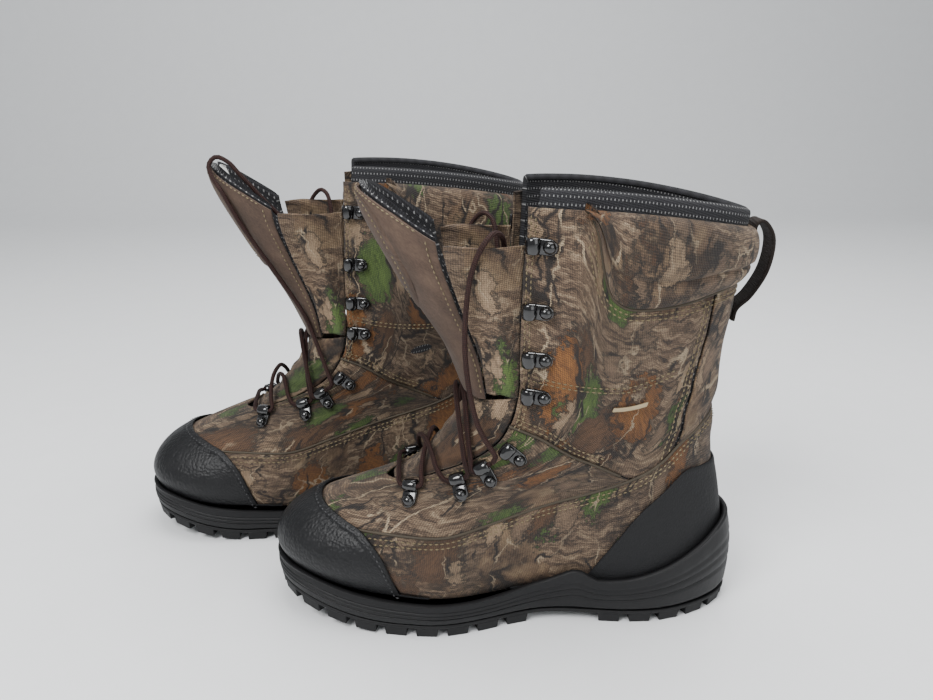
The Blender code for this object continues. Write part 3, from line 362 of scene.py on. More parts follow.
def gusset_point(side, across, t):
    """The pleated web between the tongue's edge (across 0) and the throat's edge (across 1)."""
    tongue_edge = tongue_point(side, t)
    v = crossing(side, 1.0, [(-0.05, tongue_edge[2]), (0.4, tongue_edge[2])])
    throat_edge = upper_point(side, 1.0, v)
    point = tongue_edge + (throat_edge - tongue_edge) * across
    return point + np.array((side, 0, 0)) * GUSSET_FOLD * np.sin(np.pi * across) * (0.25 + 0.75 * t)


def inset_place(side, edge_v, distance):
    """The (k, v) of the place this far from the throat's edge, square to the edge."""
    up = throat_frame(side, edge_v)[2]
    k, v = 1.0, edge_v
    steps = 10
    for _ in range(steps):
        by_k = (upper_point(side, k, v) - upper_point(side, k - 0.005, v)) / 0.005
        by_v = (upper_point(side, k, v + 0.02) - upper_point(side, k, v)) / 0.02
        away = np.cross(upper_normal(side, k, v), up) * side
        away /= np.linalg.norm(away)
        move = np.linalg.lstsq(np.stack([by_k, by_v], axis=1), away * distance / steps, rcond=None)[0]
        k, v = k + move[0], v + move[1]
    return k, v


def hook_frame(side, edge_v):
    """A hook's middle on the fabric, and its axes: away from the throat, up along it, and out."""
    up = throat_frame(side, edge_v)[2]
    k, v = inset_place(side, edge_v, HOOK_INSET)
    point, normal = upper_point(side, k, v), upper_normal(side, k, v)
    along = up - normal * (up @ normal)
    along /= np.linalg.norm(along)
    return point, np.cross(normal, along) * side, along, normal


def smooth_run(points, step):
    """Evenly spaced points on a smooth curve through these, ends included."""
    points = np.array(points, float)
    ends = np.vstack([2 * points[0] - points[1], points, 2 * points[-1] - points[-2]])
    fine = []
    for p0, p1, p2, p3 in zip(ends, ends[1:], ends[2:], ends[3:]):
        for t in np.linspace(0, 1, 24, endpoint=False):
            fine.append(0.5 * (2 * p1 + (p2 - p0) * t + (2 * p0 - 5 * p1 + 4 * p2 - p3) * t * t
                               + (3 * p1 - p0 - 3 * p2 + p3) * t ** 3))
    fine = np.array(fine + [points[-1]])
    run = np.concatenate([[0], np.cumsum(np.linalg.norm(np.diff(fine, axis=0), axis=1))])
    count = max(2, int(round(run[-1] / step)) + 1)
    return np.stack([np.interp(np.linspace(0, run[-1], count), run, fine[:, i]) for i in range(3)], axis=1)


def tunnel_ends(side, number):
    """The lower and upper mouths of a hook's tunnel, a little outside it."""
    point, away, along, normal = hook_frame(side, HOOK_LOWER[number])
    centre = point + away * HOOK_TUNNEL[0] + normal * HOOK_TUNNEL[1]
    reach = along * (HOOK_HALF_WIDTH + 0.0030)
    return centre - reach, centre + reach, along, normal


def over_throat(x, s, out):
    """The point this far outside the loops' own surface, straight over (x, s) at the throat."""
    side = LATERAL if x >= 0 else MEDIAL
    v_low, v_high = 4.5, 9.5
    for _ in range(20):
        v = (v_low + v_high) / 2
        low, high = np.pi / 2, np.pi
        for _ in range(20):
            angle = (low + high) / 2
            outside = loop_point(side, angle, v)[0] * side > abs(x)
            low, high = (angle, high) if outside else (low, angle)
        ahead = loop_point(side, angle, v)[1] > s
        v_low, v_high = (v, v_high) if ahead else (v_low, v)
    return throat_point(side, angle, v, out)


def crossing_run(leave, arrive, lift):
    """The lace over the tongue from the mouth of one hook to the mouth of another."""
    route = [leave]
    for part in (0.13, 0.31, 0.5, 0.69, 0.87):
        x, s = (leave + (arrive - leave) * part)[:2]
        route.append(over_throat(x, s, LACE_LIFT + lift * 4 * part * (1 - part)))
    return route + [arrive]


def laced_route():
    """From the top of the lateral side's last laced hook, down and back up to the medial side's."""
    feet = {side: [tunnel_ends(side, i)[0] for i in range(LACED_HOOKS)] for side in SIDES}
    tops = {side: [tunnel_ends(side, i)[1] for i in range(LACED_HOOKS)] for side in SIDES}
    runs, side = [], LATERAL
    for i in range(LACED_HOOKS - 1, 0, -1):
        runs.append(crossing_run(feet[side][i], tops[-side][i - 1], LACE_UNDER))
        side = -side
    runs.append(crossing_run(feet[side][0], feet[-side][0], LACE_UNDER))
    side = -side
    for i in range(1, LACED_HOOKS):
        runs.append(crossing_run(tops[side][i - 1], feet[-side][i], LACE_OVER))
        side = -side
    points = [tops[LATERAL][-1]]
    for run in runs:
        points.extend(smooth_run(run, LACE_STEP))
    return points + [tops[MEDIAL][-1]]


def over_tongue_top(side):
    """The way up the tongue's front and over its top."""
    climb = []
    for t in (0.03, 0.2, 0.4, 0.6, 0.8, 0.97):
        phi = side * (0.80 - 0.45 * t)
        climb.append(tongue_point(phi, t) + tongue_normal(phi, t) * 0.0034)
    return climb


def free_route(boot, side):
    """A free end: up beside the tongue, over into the shaft, and down onto the footbed."""
    _, leave, along, normal = tunnel_ends(side, LACED_HOOKS - 1)
    route = [leave + along * (LACE / 2), leave + along * 0.006 + normal * 0.003]
    if boot == "right" and side == MEDIAL:
        route += over_tongue_top(side)
        outside = FREE_OVER_TOP
    else:
        outside = FREE_OVER_GUSSET
    route += [np.array((side * x, s, z)) for x, s, z in outside + FREE_INSIDE]
    return smooth_run(route, LACE_STEP)


LACE_LIFT = 0.0050  # of a lace's middle over the tongue's virtual face
LACE_UNDER = -0.0016  # how much higher than that two crossing laces run half-way across
LACE_OVER = 0.0030
FREE_OVER_GUSSET = (
    (0.0390, 0.1820, 0.1400), (0.0370, 0.1880, 0.1650), (0.0375, 0.1905, 0.1900),
    (0.0400, 0.1900, 0.2150), (0.0430, 0.1870, 0.2380), (0.0450, 0.1800, 0.2550),
    (0.0380, 0.1720, 0.2600), (0.0290, 0.1670, 0.2500),
)
FREE_OVER_TOP = (
    (0.0190, 0.2500, 0.2895), (0.0185, 0.2400, 0.2900), (0.0180, 0.2290, 0.2780), (0.0170, 0.2000, 0.2450),
)
FREE_INSIDE = (
    (0.0220, 0.1650, 0.2200), (0.0170, 0.1640, 0.1850), (0.0140, 0.1660, 0.1500), (0.0130, 0.1720, 0.1200),
    (0.0130, 0.1700, 0.0850), (0.0130, 0.1600, 0.0550), (0.0140, 0.1620, 0.0375), (0.0170, 0.1850, 0.0350),
    (0.0150, 0.2100, 0.0366), (0.0080, 0.2280, 0.0380),
)
LOOP_LINE = (
    (0.0098, 0.2490), (0.0092, 0.2580), (0.0040, 0.2600), (-0.0020, 0.2520), (-0.0030, 0.2410),
    (0.0000, 0.2270), (0.0080, 0.2130), (0.0160, 0.2050), (0.0178, 0.1970),
)  # the pull loop's centre line (s, z), from the cuff down to the backstay
LOOP_THICKNESS = 0.0024
LOOP_HALF_WIDTH = 0.0080


# Meshes.


def world_points(boot, points):
    place = np.array(boot_matrix(boot))
    return np.asarray(points, float) @ place[:3, :3].T + place[:3, 3]


class Mesh:
    """Collects vertices, faces and UVs in a boot's frame, then makes one piece of them."""

    def __init__(self):
        self.points, self.uvs, self.faces = [], [], []

    def grid(self, points, normals=None, shift=(0.0, 0.0), wrap=False):
        """A patch of quads. Its UVs are distances across it in metres."""
        points = np.asarray(points, float)
        across, up = points.shape[:2]
        first = len(self.points)
        step_u = np.linalg.norm(np.diff(points, axis=0), axis=2).mean(axis=1)
        step_v = np.linalg.norm(np.diff(points, axis=1), axis=2).mean(axis=0)
        u = np.concatenate([[0], np.cumsum(step_u)]) + shift[0]
        v = np.concatenate([[0], np.cumsum(step_v)]) + shift[1]
        self.points.extend(points.reshape(-1, 3))
        self.uvs.extend(np.stack(np.meshgrid(u, v, indexing="ij"), axis=-1).reshape(-1, 2))
        turn = False
        if normals is not None:
            i, j = across // 2, up // 2
            i, j = min(i, across - 2), min(j, up - 2)
            face = np.cross(points[i + 1, j] - points[i, j], points[i, j + 1] - points[i, j])
            turn = face @ normals[i, j] < 0
        for i in range(across if wrap else across - 1):
            for j in range(up - 1):
                a, b = first + i * up + j, first + ((i + 1) % across) * up + j
                face = [a, b, b + 1, a + 1]
                self.faces.append(face[::-1] if turn else face)

    def solid(self, points, faces):
        first = len(self.points)
        self.points.extend(np.asarray(points, float))
        self.uvs.extend(np.asarray(points, float)[:, :2])
        self.faces.extend([[first + i for i in face] for face in faces])

    def piece(self, boot, name, finish, body, nodes=(), slot=None, closed=False, thickness=0.0,
              smooth_angle=50):
        place = np.array(boot_matrix(boot))[:3, :3]
        mesh = bpy.data.meshes.new(name)
        faces = self.faces
        if np.linalg.det(place) < 0:
            faces = [face[::-1] for face in faces]
        mesh.from_pydata(world_points(boot, self.points).tolist(), [], faces)
        layer = mesh.uv_layers.new(name="UVMap")
        corner = np.empty(len(mesh.loops), np.int32)
        mesh.loops.foreach_get("vertex_index", corner)
        layer.data.foreach_set("uv", np.array(self.uvs, np.float32)[corner].ravel())
        shape = bmesh.new()
        shape.from_mesh(mesh)
        bmesh.ops.remove_doubles(shape, verts=shape.verts, dist=2e-5)
        if closed:
            bmesh.ops.recalc_face_normals(shape, faces=shape.faces)
        shape.to_mesh(mesh)
        shape.free()
        mesh.shade_smooth()
        mesh.set_sharp_from_angle(angle=np.radians(smooth_angle))
        mesh.materials.append(finish)
        piece = bpy.data.objects.new(f"{boot}_{name}_look", mesh)
        bpy.context.scene.collection.objects.link(piece)
        if thickness:
            solidify = piece.modifiers.new("thickness", "SOLIDIFY")
            solidify.thickness = thickness
            solidify.offset = -1
            solidify.use_even_offset = False
        if body:
            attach(piece, f"{boot}_{body}")
        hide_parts(*[f"{boot}_{node}" for node in nodes])
        return piece


def eased(count, start=True, end=True):
    """Fractions from 0 to 1 that crowd together at the open ends."""
    t = np.linspace(0, 1, count)
    if start and end:
        return t - np.sin(2 * np.pi * t) / (2 * np.pi) * 0.86
    if start:
        return 1 - np.sin((1 - t) * np.pi / 2) * 0.86 - (1 - t) * 0.14
    if end:
        return np.sin(t * np.pi / 2) * 0.86 + t * 0.14
    return t


def ripple(points):
    """Soft unevenness of padded fabric, the same wherever panels meet."""
    x, s, z = points[..., 0], points[..., 1], points[..., 2]
    rise = np.clip((z - 0.09) / 0.05, 0, 1)
    wave = np.sin(95 * s + 60 * z + 2 * np.sin(40 * z + 55 * x)) + 0.8 * np.sin(130 * z - 45 * s + 70 * x)
    ankle = np.exp(-((z - 0.135) / 0.030) ** 2) * np.sin(2 * np.pi * z / 0.026 + 9 * s + 1.2 * np.sin(60 * s))
    return 0.00045 * wave * (0.35 + 0.65 * rise) + 0.0007 * ankle


def edge_distance(points, low, high, first, last):
    """How far each point of a patch is from its open borders."""
    up = np.concatenate([np.zeros((points.shape[0], 1)),
                         np.cumsum(np.linalg.norm(np.diff(points, axis=1), axis=2), axis=1)], axis=1)
    along = np.concatenate([np.zeros((1, points.shape[1])),
                            np.cumsum(np.linalg.norm(np.diff(points, axis=0), axis=2), axis=0)], axis=0)
    found = np.full(points.shape[:2], 1.0)
    if low:
        found = np.minimum(found, up)
    if high:
        found = np.minimum(found, up[:, -1:] - up)
    if first:
        found = np.minimum(found, along)
    if last is not None:
        found = np.where(last, np.minimum(found, along[-1:] - along), found)
    return found


def panel(boot, name, patches, offset, thickness, finish, nodes, drop=0.0011, slot="camo_fabric",
          low=True, high=True, first=False, last=None, body="boot", shift=(0.0, 0.0), round_over=0.0026):
    """A sewn panel over patches of the upper's surface, with turned edges."""
    mesh = Mesh()
    for side, ks, vs in patches:
        base = upper_point(side, ks, vs)
        normal = upper_normal(side, ks, vs)
        open_front = None if last is None else last(ks, vs)
        distance = edge_distance(base, low, high, first, open_front)
        fall = drop * (1 - np.sqrt(np.clip(1 - (1 - np.clip(distance / round_over, 0, 1)) ** 2, 0, 1)))
        out = offset(side, ks, vs, base, distance) - fall + ripple(base)
        mesh.grid(base + normal * out[..., None], normal, (shift[0] + 0.31 * (side < 0), shift[1]))
    return mesh.piece(boot, name, finish, body, nodes, slot, thickness=thickness)


def between(side, ks, lows, highs, rows):
    """Patch places: columns ks, and rows as fractions from lows to highs."""
    lows, highs = np.broadcast_to(lows, ks.shape), np.broadcast_to(highs, ks.shape)
    vs = lows[:, None] + (highs - lows)[:, None] * rows[None, :]
    return side, np.broadcast_to(ks[:, None], vs.shape), vs


def level(value):
    return lambda side, ks, vs, base, distance: np.full(ks.shape, value)


def sweep(points, radius, sides=12):
    """A round tube's points along a line, as a grid."""
    points = np.asarray(points, float)
    tangent = np.gradient(points, axis=0)
    tangent /= np.linalg.norm(tangent, axis=1, keepdims=True)
    normal = np.cross(tangent[0], (0.3, 0.5, 0.8))
    rings = []
    for point, ahead in zip(points, tangent):
        normal = normal - ahead * (normal @ ahead)
        normal /= np.linalg.norm(normal)
        side = np.cross(ahead, normal)
        turn = np.linspace(0, 2 * np.pi, sides, endpoint=False)
        rings.append(point + (np.cos(turn)[:, None] * normal + np.sin(turn)[:, None] * side) * radius)
    return np.swapaxes(np.array(rings), 0, 1)


# Materials.


class Finish:
    """A node material, built a node at a time."""

    def __init__(self, name, colour, roughness, **sockets):
        self.material = bpy.data.materials.new(name)
        self.material.use_nodes = True
        self.tree = self.material.node_tree
        self.shader = self.tree.nodes["Principled BSDF"]
        self.shader.inputs["Base Color"].default_value = (*colour, 1)
        self.shader.inputs["Roughness"].default_value = roughness
        for key, value in sockets.items():
            self.shader.inputs[key.replace("_", " ")].default_value = value
        self.height = None

    def add(self, kind, inputs=(), out=0, **settings):
        node = self.tree.nodes.new("ShaderNode" + kind)
        for key, value in settings.items():
            setattr(node, key, value)
        for key, value in dict(inputs).items():
            if isinstance(value, bpy.types.NodeSocket):
                self.tree.links.new(value, node.inputs[key])
            else:
                node.inputs[key].default_value = value
        return node.outputs[out]

    def uv(self):
        return self.add("UVMap", uv_map="UVMap")

    def place(self):
        return self.add("TexCoord", out=3)

    def moved(self, vector, scale=(1, 1, 1), turn=0.0, shift=(0, 0, 0)):
        inputs = {"Vector": vector, "Scale": scale, "Rotation": (0, 0, turn), "Location": shift}
        return self.add("Mapping", inputs)

    def noise(self, vector, scale, detail=3.0, roughness=0.55, out=0, distortion=0.0):
        inputs = {"Vector": vector, "Scale": scale, "Detail": detail, "Roughness": roughness,
                  "Distortion": distortion}
        return self.add("TexNoise", inputs, out)

    def cells(self, vector, scale, feature="F1", out=0, randomness=1.0):
        return self.add("TexVoronoi", {"Vector": vector, "Scale": scale, "Randomness": randomness}, out,
                        feature=feature)

    def math(self, operation, a, b=0.0, c=0.0):
        return self.add("Math", {0: a, 1: b, 2: c}, operation=operation)

    def mix(self, amount, a, b, blend="MIX"):
        node = self.tree.nodes.new("ShaderNodeMix")
        node.data_type = "RGBA"
        node.blend_type = blend
        for key, value in ((0, amount), (6, a), (7, b)):
            if isinstance(value, bpy.types.NodeSocket):
                self.tree.links.new(value, node.inputs[key])
            else:
                node.inputs[key].default_value = value if key == 0 else (*value, 1)
        return node.outputs[2]

    def step(self, value, low, high):
        return self.add("MapRange", {"Value": value, "From Min": low, "From Max": high})

    def ramp(self, value, *stops):
        node = self.tree.nodes.new("ShaderNodeValToRGB")
        self.tree.links.new(value, node.inputs[0])
        elements = node.color_ramp.elements
        while len(elements) < len(stops):
            elements.new(0.5)
        for element, (position, colour) in zip(elements, stops):
            element.position = position
            element.color = (*colour, 1)
        return node.outputs[0]

    def colour(self, socket):
        self.tree.links.new(socket, self.shader.inputs["Base Color"])

    def rough(self, socket):
        self.tree.links.new(socket, self.shader.inputs["Roughness"])

    def bump(self, value, distance, strength=1.0):
        inputs = {"Height": value, "Distance": distance, "Strength": strength}
        if self.height:
            inputs["Normal"] = self.height
        self.height = self.add("Bump", inputs)
        self.tree.links.new(self.height, self.shader.inputs["Normal"])

    def weave(self, vector, pitch, turn=np.pi / 4):
        """A fine twill: ribs one way broken up by threads the other way. Runs from 0 to 1."""
        turned = self.moved(vector, turn=turn)
        split = self.tree.nodes.new("ShaderNodeSeparateXYZ")
        self.tree.links.new(turned, split.inputs[0])
        rate = 2 * np.pi / pitch
        ribs = self.math("SINE", self.math("MULTIPLY", split.outputs[0], rate))
        threads = self.math("SINE", self.math("MULTIPLY", split.outputs[1], rate * 0.8))
        return self.math("MULTIPLY_ADD", self.math("MULTIPLY", ribs, threads), 0.5, 0.5)


def camo_print(name, seed):
    """A generic woodland print of bark, twigs and dead and green leaves on a coarse weave."""
    f = Finish(name, (0.08, 0.05, 0.03), 0.88, Sheen_Weight=0.04, Sheen_Roughness=0.6)
    flat = f.moved(f.uv(), shift=(seed * 0.37, seed * 0.23, seed * 0.7))
    drift = f.noise(flat, 70.0, 5.0, out=1)
    drift = f.add("VectorMath", {0: drift, "Scale": 0.016}, operation="SCALE")
    warped = f.add("VectorMath", {0: flat, 1: drift}, operation="ADD")
    ground = f.noise(warped, 34.0, 9.0, 0.70)
    colour = f.ramp(ground, (0.33, (0.010, 0.007, 0.005)), (0.43, (0.048, 0.028, 0.016)),
                    (0.50, (0.115, 0.070, 0.040)), (0.57, (0.17, 0.112, 0.062)), (0.68, (0.27, 0.195, 0.120)))
    patches = f.cells(warped, 24.0, out=1)
    pick = f.add("SeparateColor", {0: patches})
    for number, turn in enumerate((1.25, -0.55, 2.2)):
        bark = f.noise(f.moved(warped, (26, 150, 1), turn), 2.4, 7.0, 0.75)
        streaks = f.ramp(bark, (0.36, (0.012, 0.008, 0.006)), (0.47, (0.075, 0.046, 0.028)),
                         (0.55, (0.17, 0.115, 0.072)), (0.66, (0.30, 0.225, 0.145)))
        chosen = f.math("COMPARE", pick, 0.2 + 0.3 * number, 0.13)
        colour = f.mix(f.math("MULTIPLY", chosen, 0.85), colour, streaks)
    for number, (size, turn, dark, light, cover, share) in enumerate((
        (21.0, 0.9, (0.018, 0.010, 0.006), (0.105, 0.052, 0.024), 0.42, 0.45),
        (22.0, -0.5, (0.042, 0.015, 0.005), (0.19, 0.078, 0.020), 0.38, 0.44),
        (25.0, 2.1, (0.008, 0.020, 0.004), (0.075, 0.12, 0.024), 0.36, 0.56),
        (38.0, 1.4, (0.075, 0.044, 0.025), (0.28, 0.195, 0.120), 0.30, 0.56),
        (44.0, 0.2, (0.020, 0.012, 0.008), (0.16, 0.105, 0.065), 0.34, 0.45),
    )):
        stretched = f.moved(warped, (1.0, 0.55, 1), turn, (0.11 * number + seed * 0.13, 0.4 * number, 0))
        near = f.cells(stretched, size)
        fleck = f.noise(flat, 260.0, 3.0, 0.7)
        ragged = f.math("MULTIPLY_ADD", fleck, 0.45, near)
        leaf = f.math("SUBTRACT", 1.0, f.step(ragged, cover + 0.17, cover + 0.20))
        edge = f.math("SUBTRACT", 1.0, f.step(ragged, cover + 0.21, cover + 0.27))
        chosen = f.math("GREATER_THAN", f.add("SeparateColor", {0: f.cells(stretched, size, out=1)}), share)
        veins = f.noise(f.moved(stretched, (60, 330, 1), 0.5), 3.0, 4.0, 0.7)
        shade = f.math("MULTIPLY_ADD", f.math("SUBTRACT", veins, 0.5), 2.4, f.step(near, 0.05, 0.62))
        outline_share = f.math("MULTIPLY", f.math("MULTIPLY", edge, chosen), 0.75)
        colour = f.mix(outline_share, colour, (0.010, 0.008, 0.006))
        colour = f.mix(f.math("MULTIPLY", leaf, chosen), colour, f.mix(shade, light, dark))
    for scale, turn, tone, width in (
        (17.0, 0.6, (0.012, 0.008, 0.006), 0.016),
        (33.0, -0.8, (0.30, 0.23, 0.15), 0.012),
        (29.0, 1.7, (0.016, 0.010, 0.007), 0.020),
    ):
        stretched = f.moved(warped, (1.0, 0.34, 1), turn, (seed * 0.31, 0.2, 0))
        line = f.cells(stretched, scale, "DISTANCE_TO_EDGE")
        broken = f.step(f.noise(flat, 30.0, 2.0), 0.46, 0.54)
        twig = f.math("SUBTRACT", 1.0, f.step(line, width * 0.5, width * 1.6))
        colour = f.mix(f.math("MULTIPLY", twig, broken), colour, tone)
    weave = f.weave(f.uv(), 0.00150)
    grain = f.noise(f.moved(f.uv(), (1, 3.0, 1), 0.78), 800.0, 3.0, 0.7)
    broad = f.noise(flat, 13.0, 3.0)
    lit = f.math("MULTIPLY", f.math("MULTIPLY_ADD", weave, 0.80, f.math("MULTIPLY_ADD", grain, 1.1, -0.08)),
                 f.math("MULTIPLY_ADD", broad, 1.5, 0.12))
    f.colour(f.mix(1.0, colour, f.add("CombineColor", {0: lit, 1: lit, 2: lit}), "MULTIPLY"))
    f.bump(weave, 0.00045, 0.9)
    f.bump(grain, 0.00020, 0.6)
    return f.material


def rubber(name, tone, pebble, depth, roughness, dust=0.4):
    f = Finish(name, tone, roughness, Specular_IOR_Level=0.28)
    cells = f.cells(f.uv(), 1 / pebble, "SMOOTH_F1")
    broad = f.noise(f.uv(), 60.0, 5.0)
    pale = tuple(c * 1.7 + 0.003 for c in tone)
    f.colour(f.mix(f.math("MULTIPLY", f.step(broad, 0.42, 0.75), dust), tone, pale))
    f.rough(f.math("MULTIPLY_ADD", broad, 0.25, roughness - 0.12))
    f.bump(cells, depth, 0.9)
    f.bump(f.noise(f.uv(), 900.0, 3.0), depth * 0.5, 0.5)
    return f.material


def nubuck():
    f = Finish("nubuck", (0.06, 0.036, 0.024), 0.86, Sheen_Weight=0.03, Sheen_Roughness=0.5)
    broad = f.noise(f.uv(), 38.0, 6.0, 0.6)
    fine = f.noise(f.uv(), 700.0, 3.0, 0.7)
    colour = f.ramp(broad, (0.30, (0.022, 0.012, 0.0075)), (0.52, (0.054, 0.031, 0.020)),
                    (0.72, (0.105, 0.066, 0.044)))
    f.colour(f.mix(0.30, colour, f.ramp(fine, (0.3, (0.016, 0.009, 0.006)), (0.7, (0.125, 0.080, 0.054)))))
    f.bump(fine, 0.00025, 0.7)
    f.bump(f.cells(f.uv(), 420.0, "SMOOTH_F1"), 0.0002, 0.4)
    return f.material


def dotted_mesh():
    """Black spacer knit with rows of pale dots."""
    f = Finish("dotted_mesh", (0.016, 0.017, 0.020), 0.93)
    split = f.tree.nodes.new("ShaderNodeSeparateXYZ")
    f.tree.links.new(f.uv(), split.inputs[0])
    row = f.math("FRACT", f.math("MULTIPLY", split.outputs[1], 1 / 0.0090))
    cell = f.math("FRACT", f.math("MULTIPLY_ADD", split.outputs[0], 1 / 0.0033,
                                  f.math("MULTIPLY", f.math("GREATER_THAN", row, 0.5), 0.5)))
    pair = f.math("FRACT", f.math("MULTIPLY", split.outputs[1], 1 / 0.0045))
    far = f.math("ADD", f.math("POWER", f.math("ABSOLUTE", f.math("SUBTRACT", cell, 0.5)), 2.0),
                 f.math("POWER", f.math("ABSOLUTE", f.math("SUBTRACT", pair, 0.5)), 2.0))
    dot = f.math("SUBTRACT", 1.0, f.step(far, 0.016, 0.034))
    knit = f.weave(f.uv(), 0.0017)
    base = f.mix(knit, (0.004, 0.004, 0.005), (0.020, 0.020, 0.024))
    f.colour(f.mix(dot, base, (0.20, 0.20, 0.20)))
    f.bump(knit, 0.0005, 0.9)
    f.bump(dot, 0.0004, 0.8)
    return f.material


def cord_finish(name, dark, light, pitch):
    f = Finish(name, dark, 0.78, Specular_IOR_Level=0.3)
    weave = f.weave(f.uv(), pitch)
    wear = f.noise(f.uv(), 300.0, 3.0)
    f.colour(f.mix(f.math("MULTIPLY", weave, f.math("ADD", wear, 0.25)), dark, light))
    f.bump(weave, 0.0004, 1.0)
    return f.material


def thread_finish(name, dark, light):
    f = Finish(name, dark, 0.7)
    twist = f.noise(f.place(), 1500.0, 2.0)
    f.colour(f.mix(f.noise(f.place(), 45.0, 2.0), dark, light))
    f.bump(twist, 0.0001, 0.6)
    return f.material


def plain(name, tone, roughness, scale, depth, **sockets):
    f = Finish(name, tone, roughness, **sockets)
    grain = f.noise(f.place(), scale, 4.0)
    pale = tuple(min(c * 1.5 + 0.004, 1) for c in tone)
    f.colour(f.mix(grain, tone, pale))
    f.rough(f.math("MULTIPLY_ADD", grain, 0.14, roughness - 0.07))
    f.bump(grain, depth, 0.6)
    return f.material


CAMO = {name: camo_print(f"camo_{name}", seed) for name, seed in (
    ("quarter", 1.0), ("vamp", 2.3), ("shaft", 3.1), ("backstay", 4.7), ("collar", 5.9), ("gusset", 7.2),
    ("tongue", 8.4))}
TOE_RUBBER = rubber("toe_rubber", (0.0045, 0.0047, 0.0054), 0.0017, 0.00055, 0.46)
HEEL_RUBBER = rubber("heel_rubber", (0.0062, 0.0064, 0.0072), 0.0011, 0.00040, 0.70)
SOLE_RUBBER = rubber("sole_rubber", (0.0048, 0.0048, 0.0054), 0.0030, 0.00016, 0.56)
TREAD_RUBBER = rubber("tread_rubber", (0.0050, 0.0050, 0.0055), 0.0022, 0.00016, 0.62, dust=0.8)
NUBUCK = nubuck()
MESH = dotted_mesh()
LACE_CORD = cord_finish("lace_braid", (0.007, 0.0028, 0.0024), (0.048, 0.016, 0.012), 0.0016)
WEBBING = cord_finish("webbing_twill", (0.006, 0.0038, 0.003), (0.028, 0.017, 0.013), 0.0019)
THREAD = thread_finish("olive_thread", (0.085, 0.064, 0.030), (0.21, 0.165, 0.088))
EDGING = thread_finish("olive_edging", (0.018, 0.013, 0.007), (0.052, 0.038, 0.020))
TAB = thread_finish("tan_tape", (0.26, 0.20, 0.11), (0.42, 0.34, 0.21))
LABEL = thread_finish("blank_label", (0.62, 0.62, 0.60), (0.74, 0.74, 0.72))
BLACK_THREAD = thread_finish("black_thread", (0.02, 0.02, 0.022), (0.05, 0.05, 0.052))
HOOK_METAL = plain("hook_enamel", (0.0022, 0.0022, 0.0026), 0.16, 500.0, 0.00003, Coat_Weight=0.6,
                   Metallic=0.2)
STEEL = plain("plain_steel", (0.42, 0.42, 0.44), 0.35, 300.0, 0.00005, Metallic=1.0)
BOARD = plain("fibre_board", (0.42, 0.36, 0.27), 0.9, 400.0, 0.0001)
FOAM = plain("footbed_knit", (0.022, 0.022, 0.025), 0.95, 900.0, 0.0004)


# The camera and the light.


def add_camera():
    data = bpy.data.cameras.new("camera")
    data.lens = 36 * 800 / 933
    data.clip_start = 0.01
    camera = bpy.data.objects.new("camera", data)
    camera.location = (0.4888 - PAIR_CENTRE[0], PAIR_CENTRE[1] - 0.2132, 0.337)
    tilt = np.radians(18)
    look = Vector((-0.9986 * np.cos(tilt), 0.0523 * np.cos(tilt), -np.sin(tilt)))
    camera.rotation_euler = look.to_track_quat("-Z", "Y").to_euler()
    bpy.context.scene.collection.objects.link(camera)
    bpy.context.scene.camera = camera


def add_light(name, place, target, size, power, tone=(1, 1, 1)):
    data = bpy.data.lights.new(name, "AREA")
    data.size = size
    data.energy = power
    data.color = tone
    light = bpy.data.objects.new(name, data)
    light.location = place
    light.rotation_euler = (Vector(target) - Vector(place)).to_track_quat("-Z", "Y").to_euler()
    bpy.context.scene.collection.objects.link(light)


def add_studio():
    world = bpy.data.worlds.new("studio")
    world.use_nodes = True
    world.node_tree.nodes["Background"].inputs[0].default_value = (0.80, 0.82, 0.84, 1)
    world.node_tree.nodes["Background"].inputs[1].default_value = 0.55
    bpy.context.scene.world = world
    add_light("key", (0.9, -0.7, 1.3), (0, 0, 0.12), 0.7, 30)
    add_light("overhead", (-0.2, 0.3, 1.6), (0, 0, 0.1), 1.3, 30)
    add_light("fill", (1.1, 0.9, 0.7), (0, 0, 0.12), 1.0, 8)
    floor = Finish("pale_floor", (0.72, 0.73, 0.74), 0.6)
    speck = floor.noise(floor.place(), 30.0, 3.0)
    floor.colour(floor.mix(speck, (0.78, 0.79, 0.80), (0.82, 0.83, 0.84)))
    turn = np.linspace(0, np.pi / 2, 10)
    profile = [(4.0, 0.0), (-1.6, 0.0)] + [(-1.6 - 0.6 * np.sin(a), 0.6 - 0.6 * np.cos(a)) for a in turn[1:]]
    profile.append((-2.2, 4.0))
    vertices = [(x, y, z) for y in (-5, 5) for x, z in profile]
    count = len(profile)
    mesh = bpy.data.meshes.new("floor")
    mesh.from_pydata(vertices, [], [[i, i + 1, count + i + 1, count + i] for i in range(count - 1)])
    mesh.shade_smooth()
    mesh.materials.append(floor.material)
    sweep_floor = bpy.data.objects.new("floor", mesh)
    bpy.context.scene.collection.objects.link(sweep_floor)
    sweep_floor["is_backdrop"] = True


# The cords.


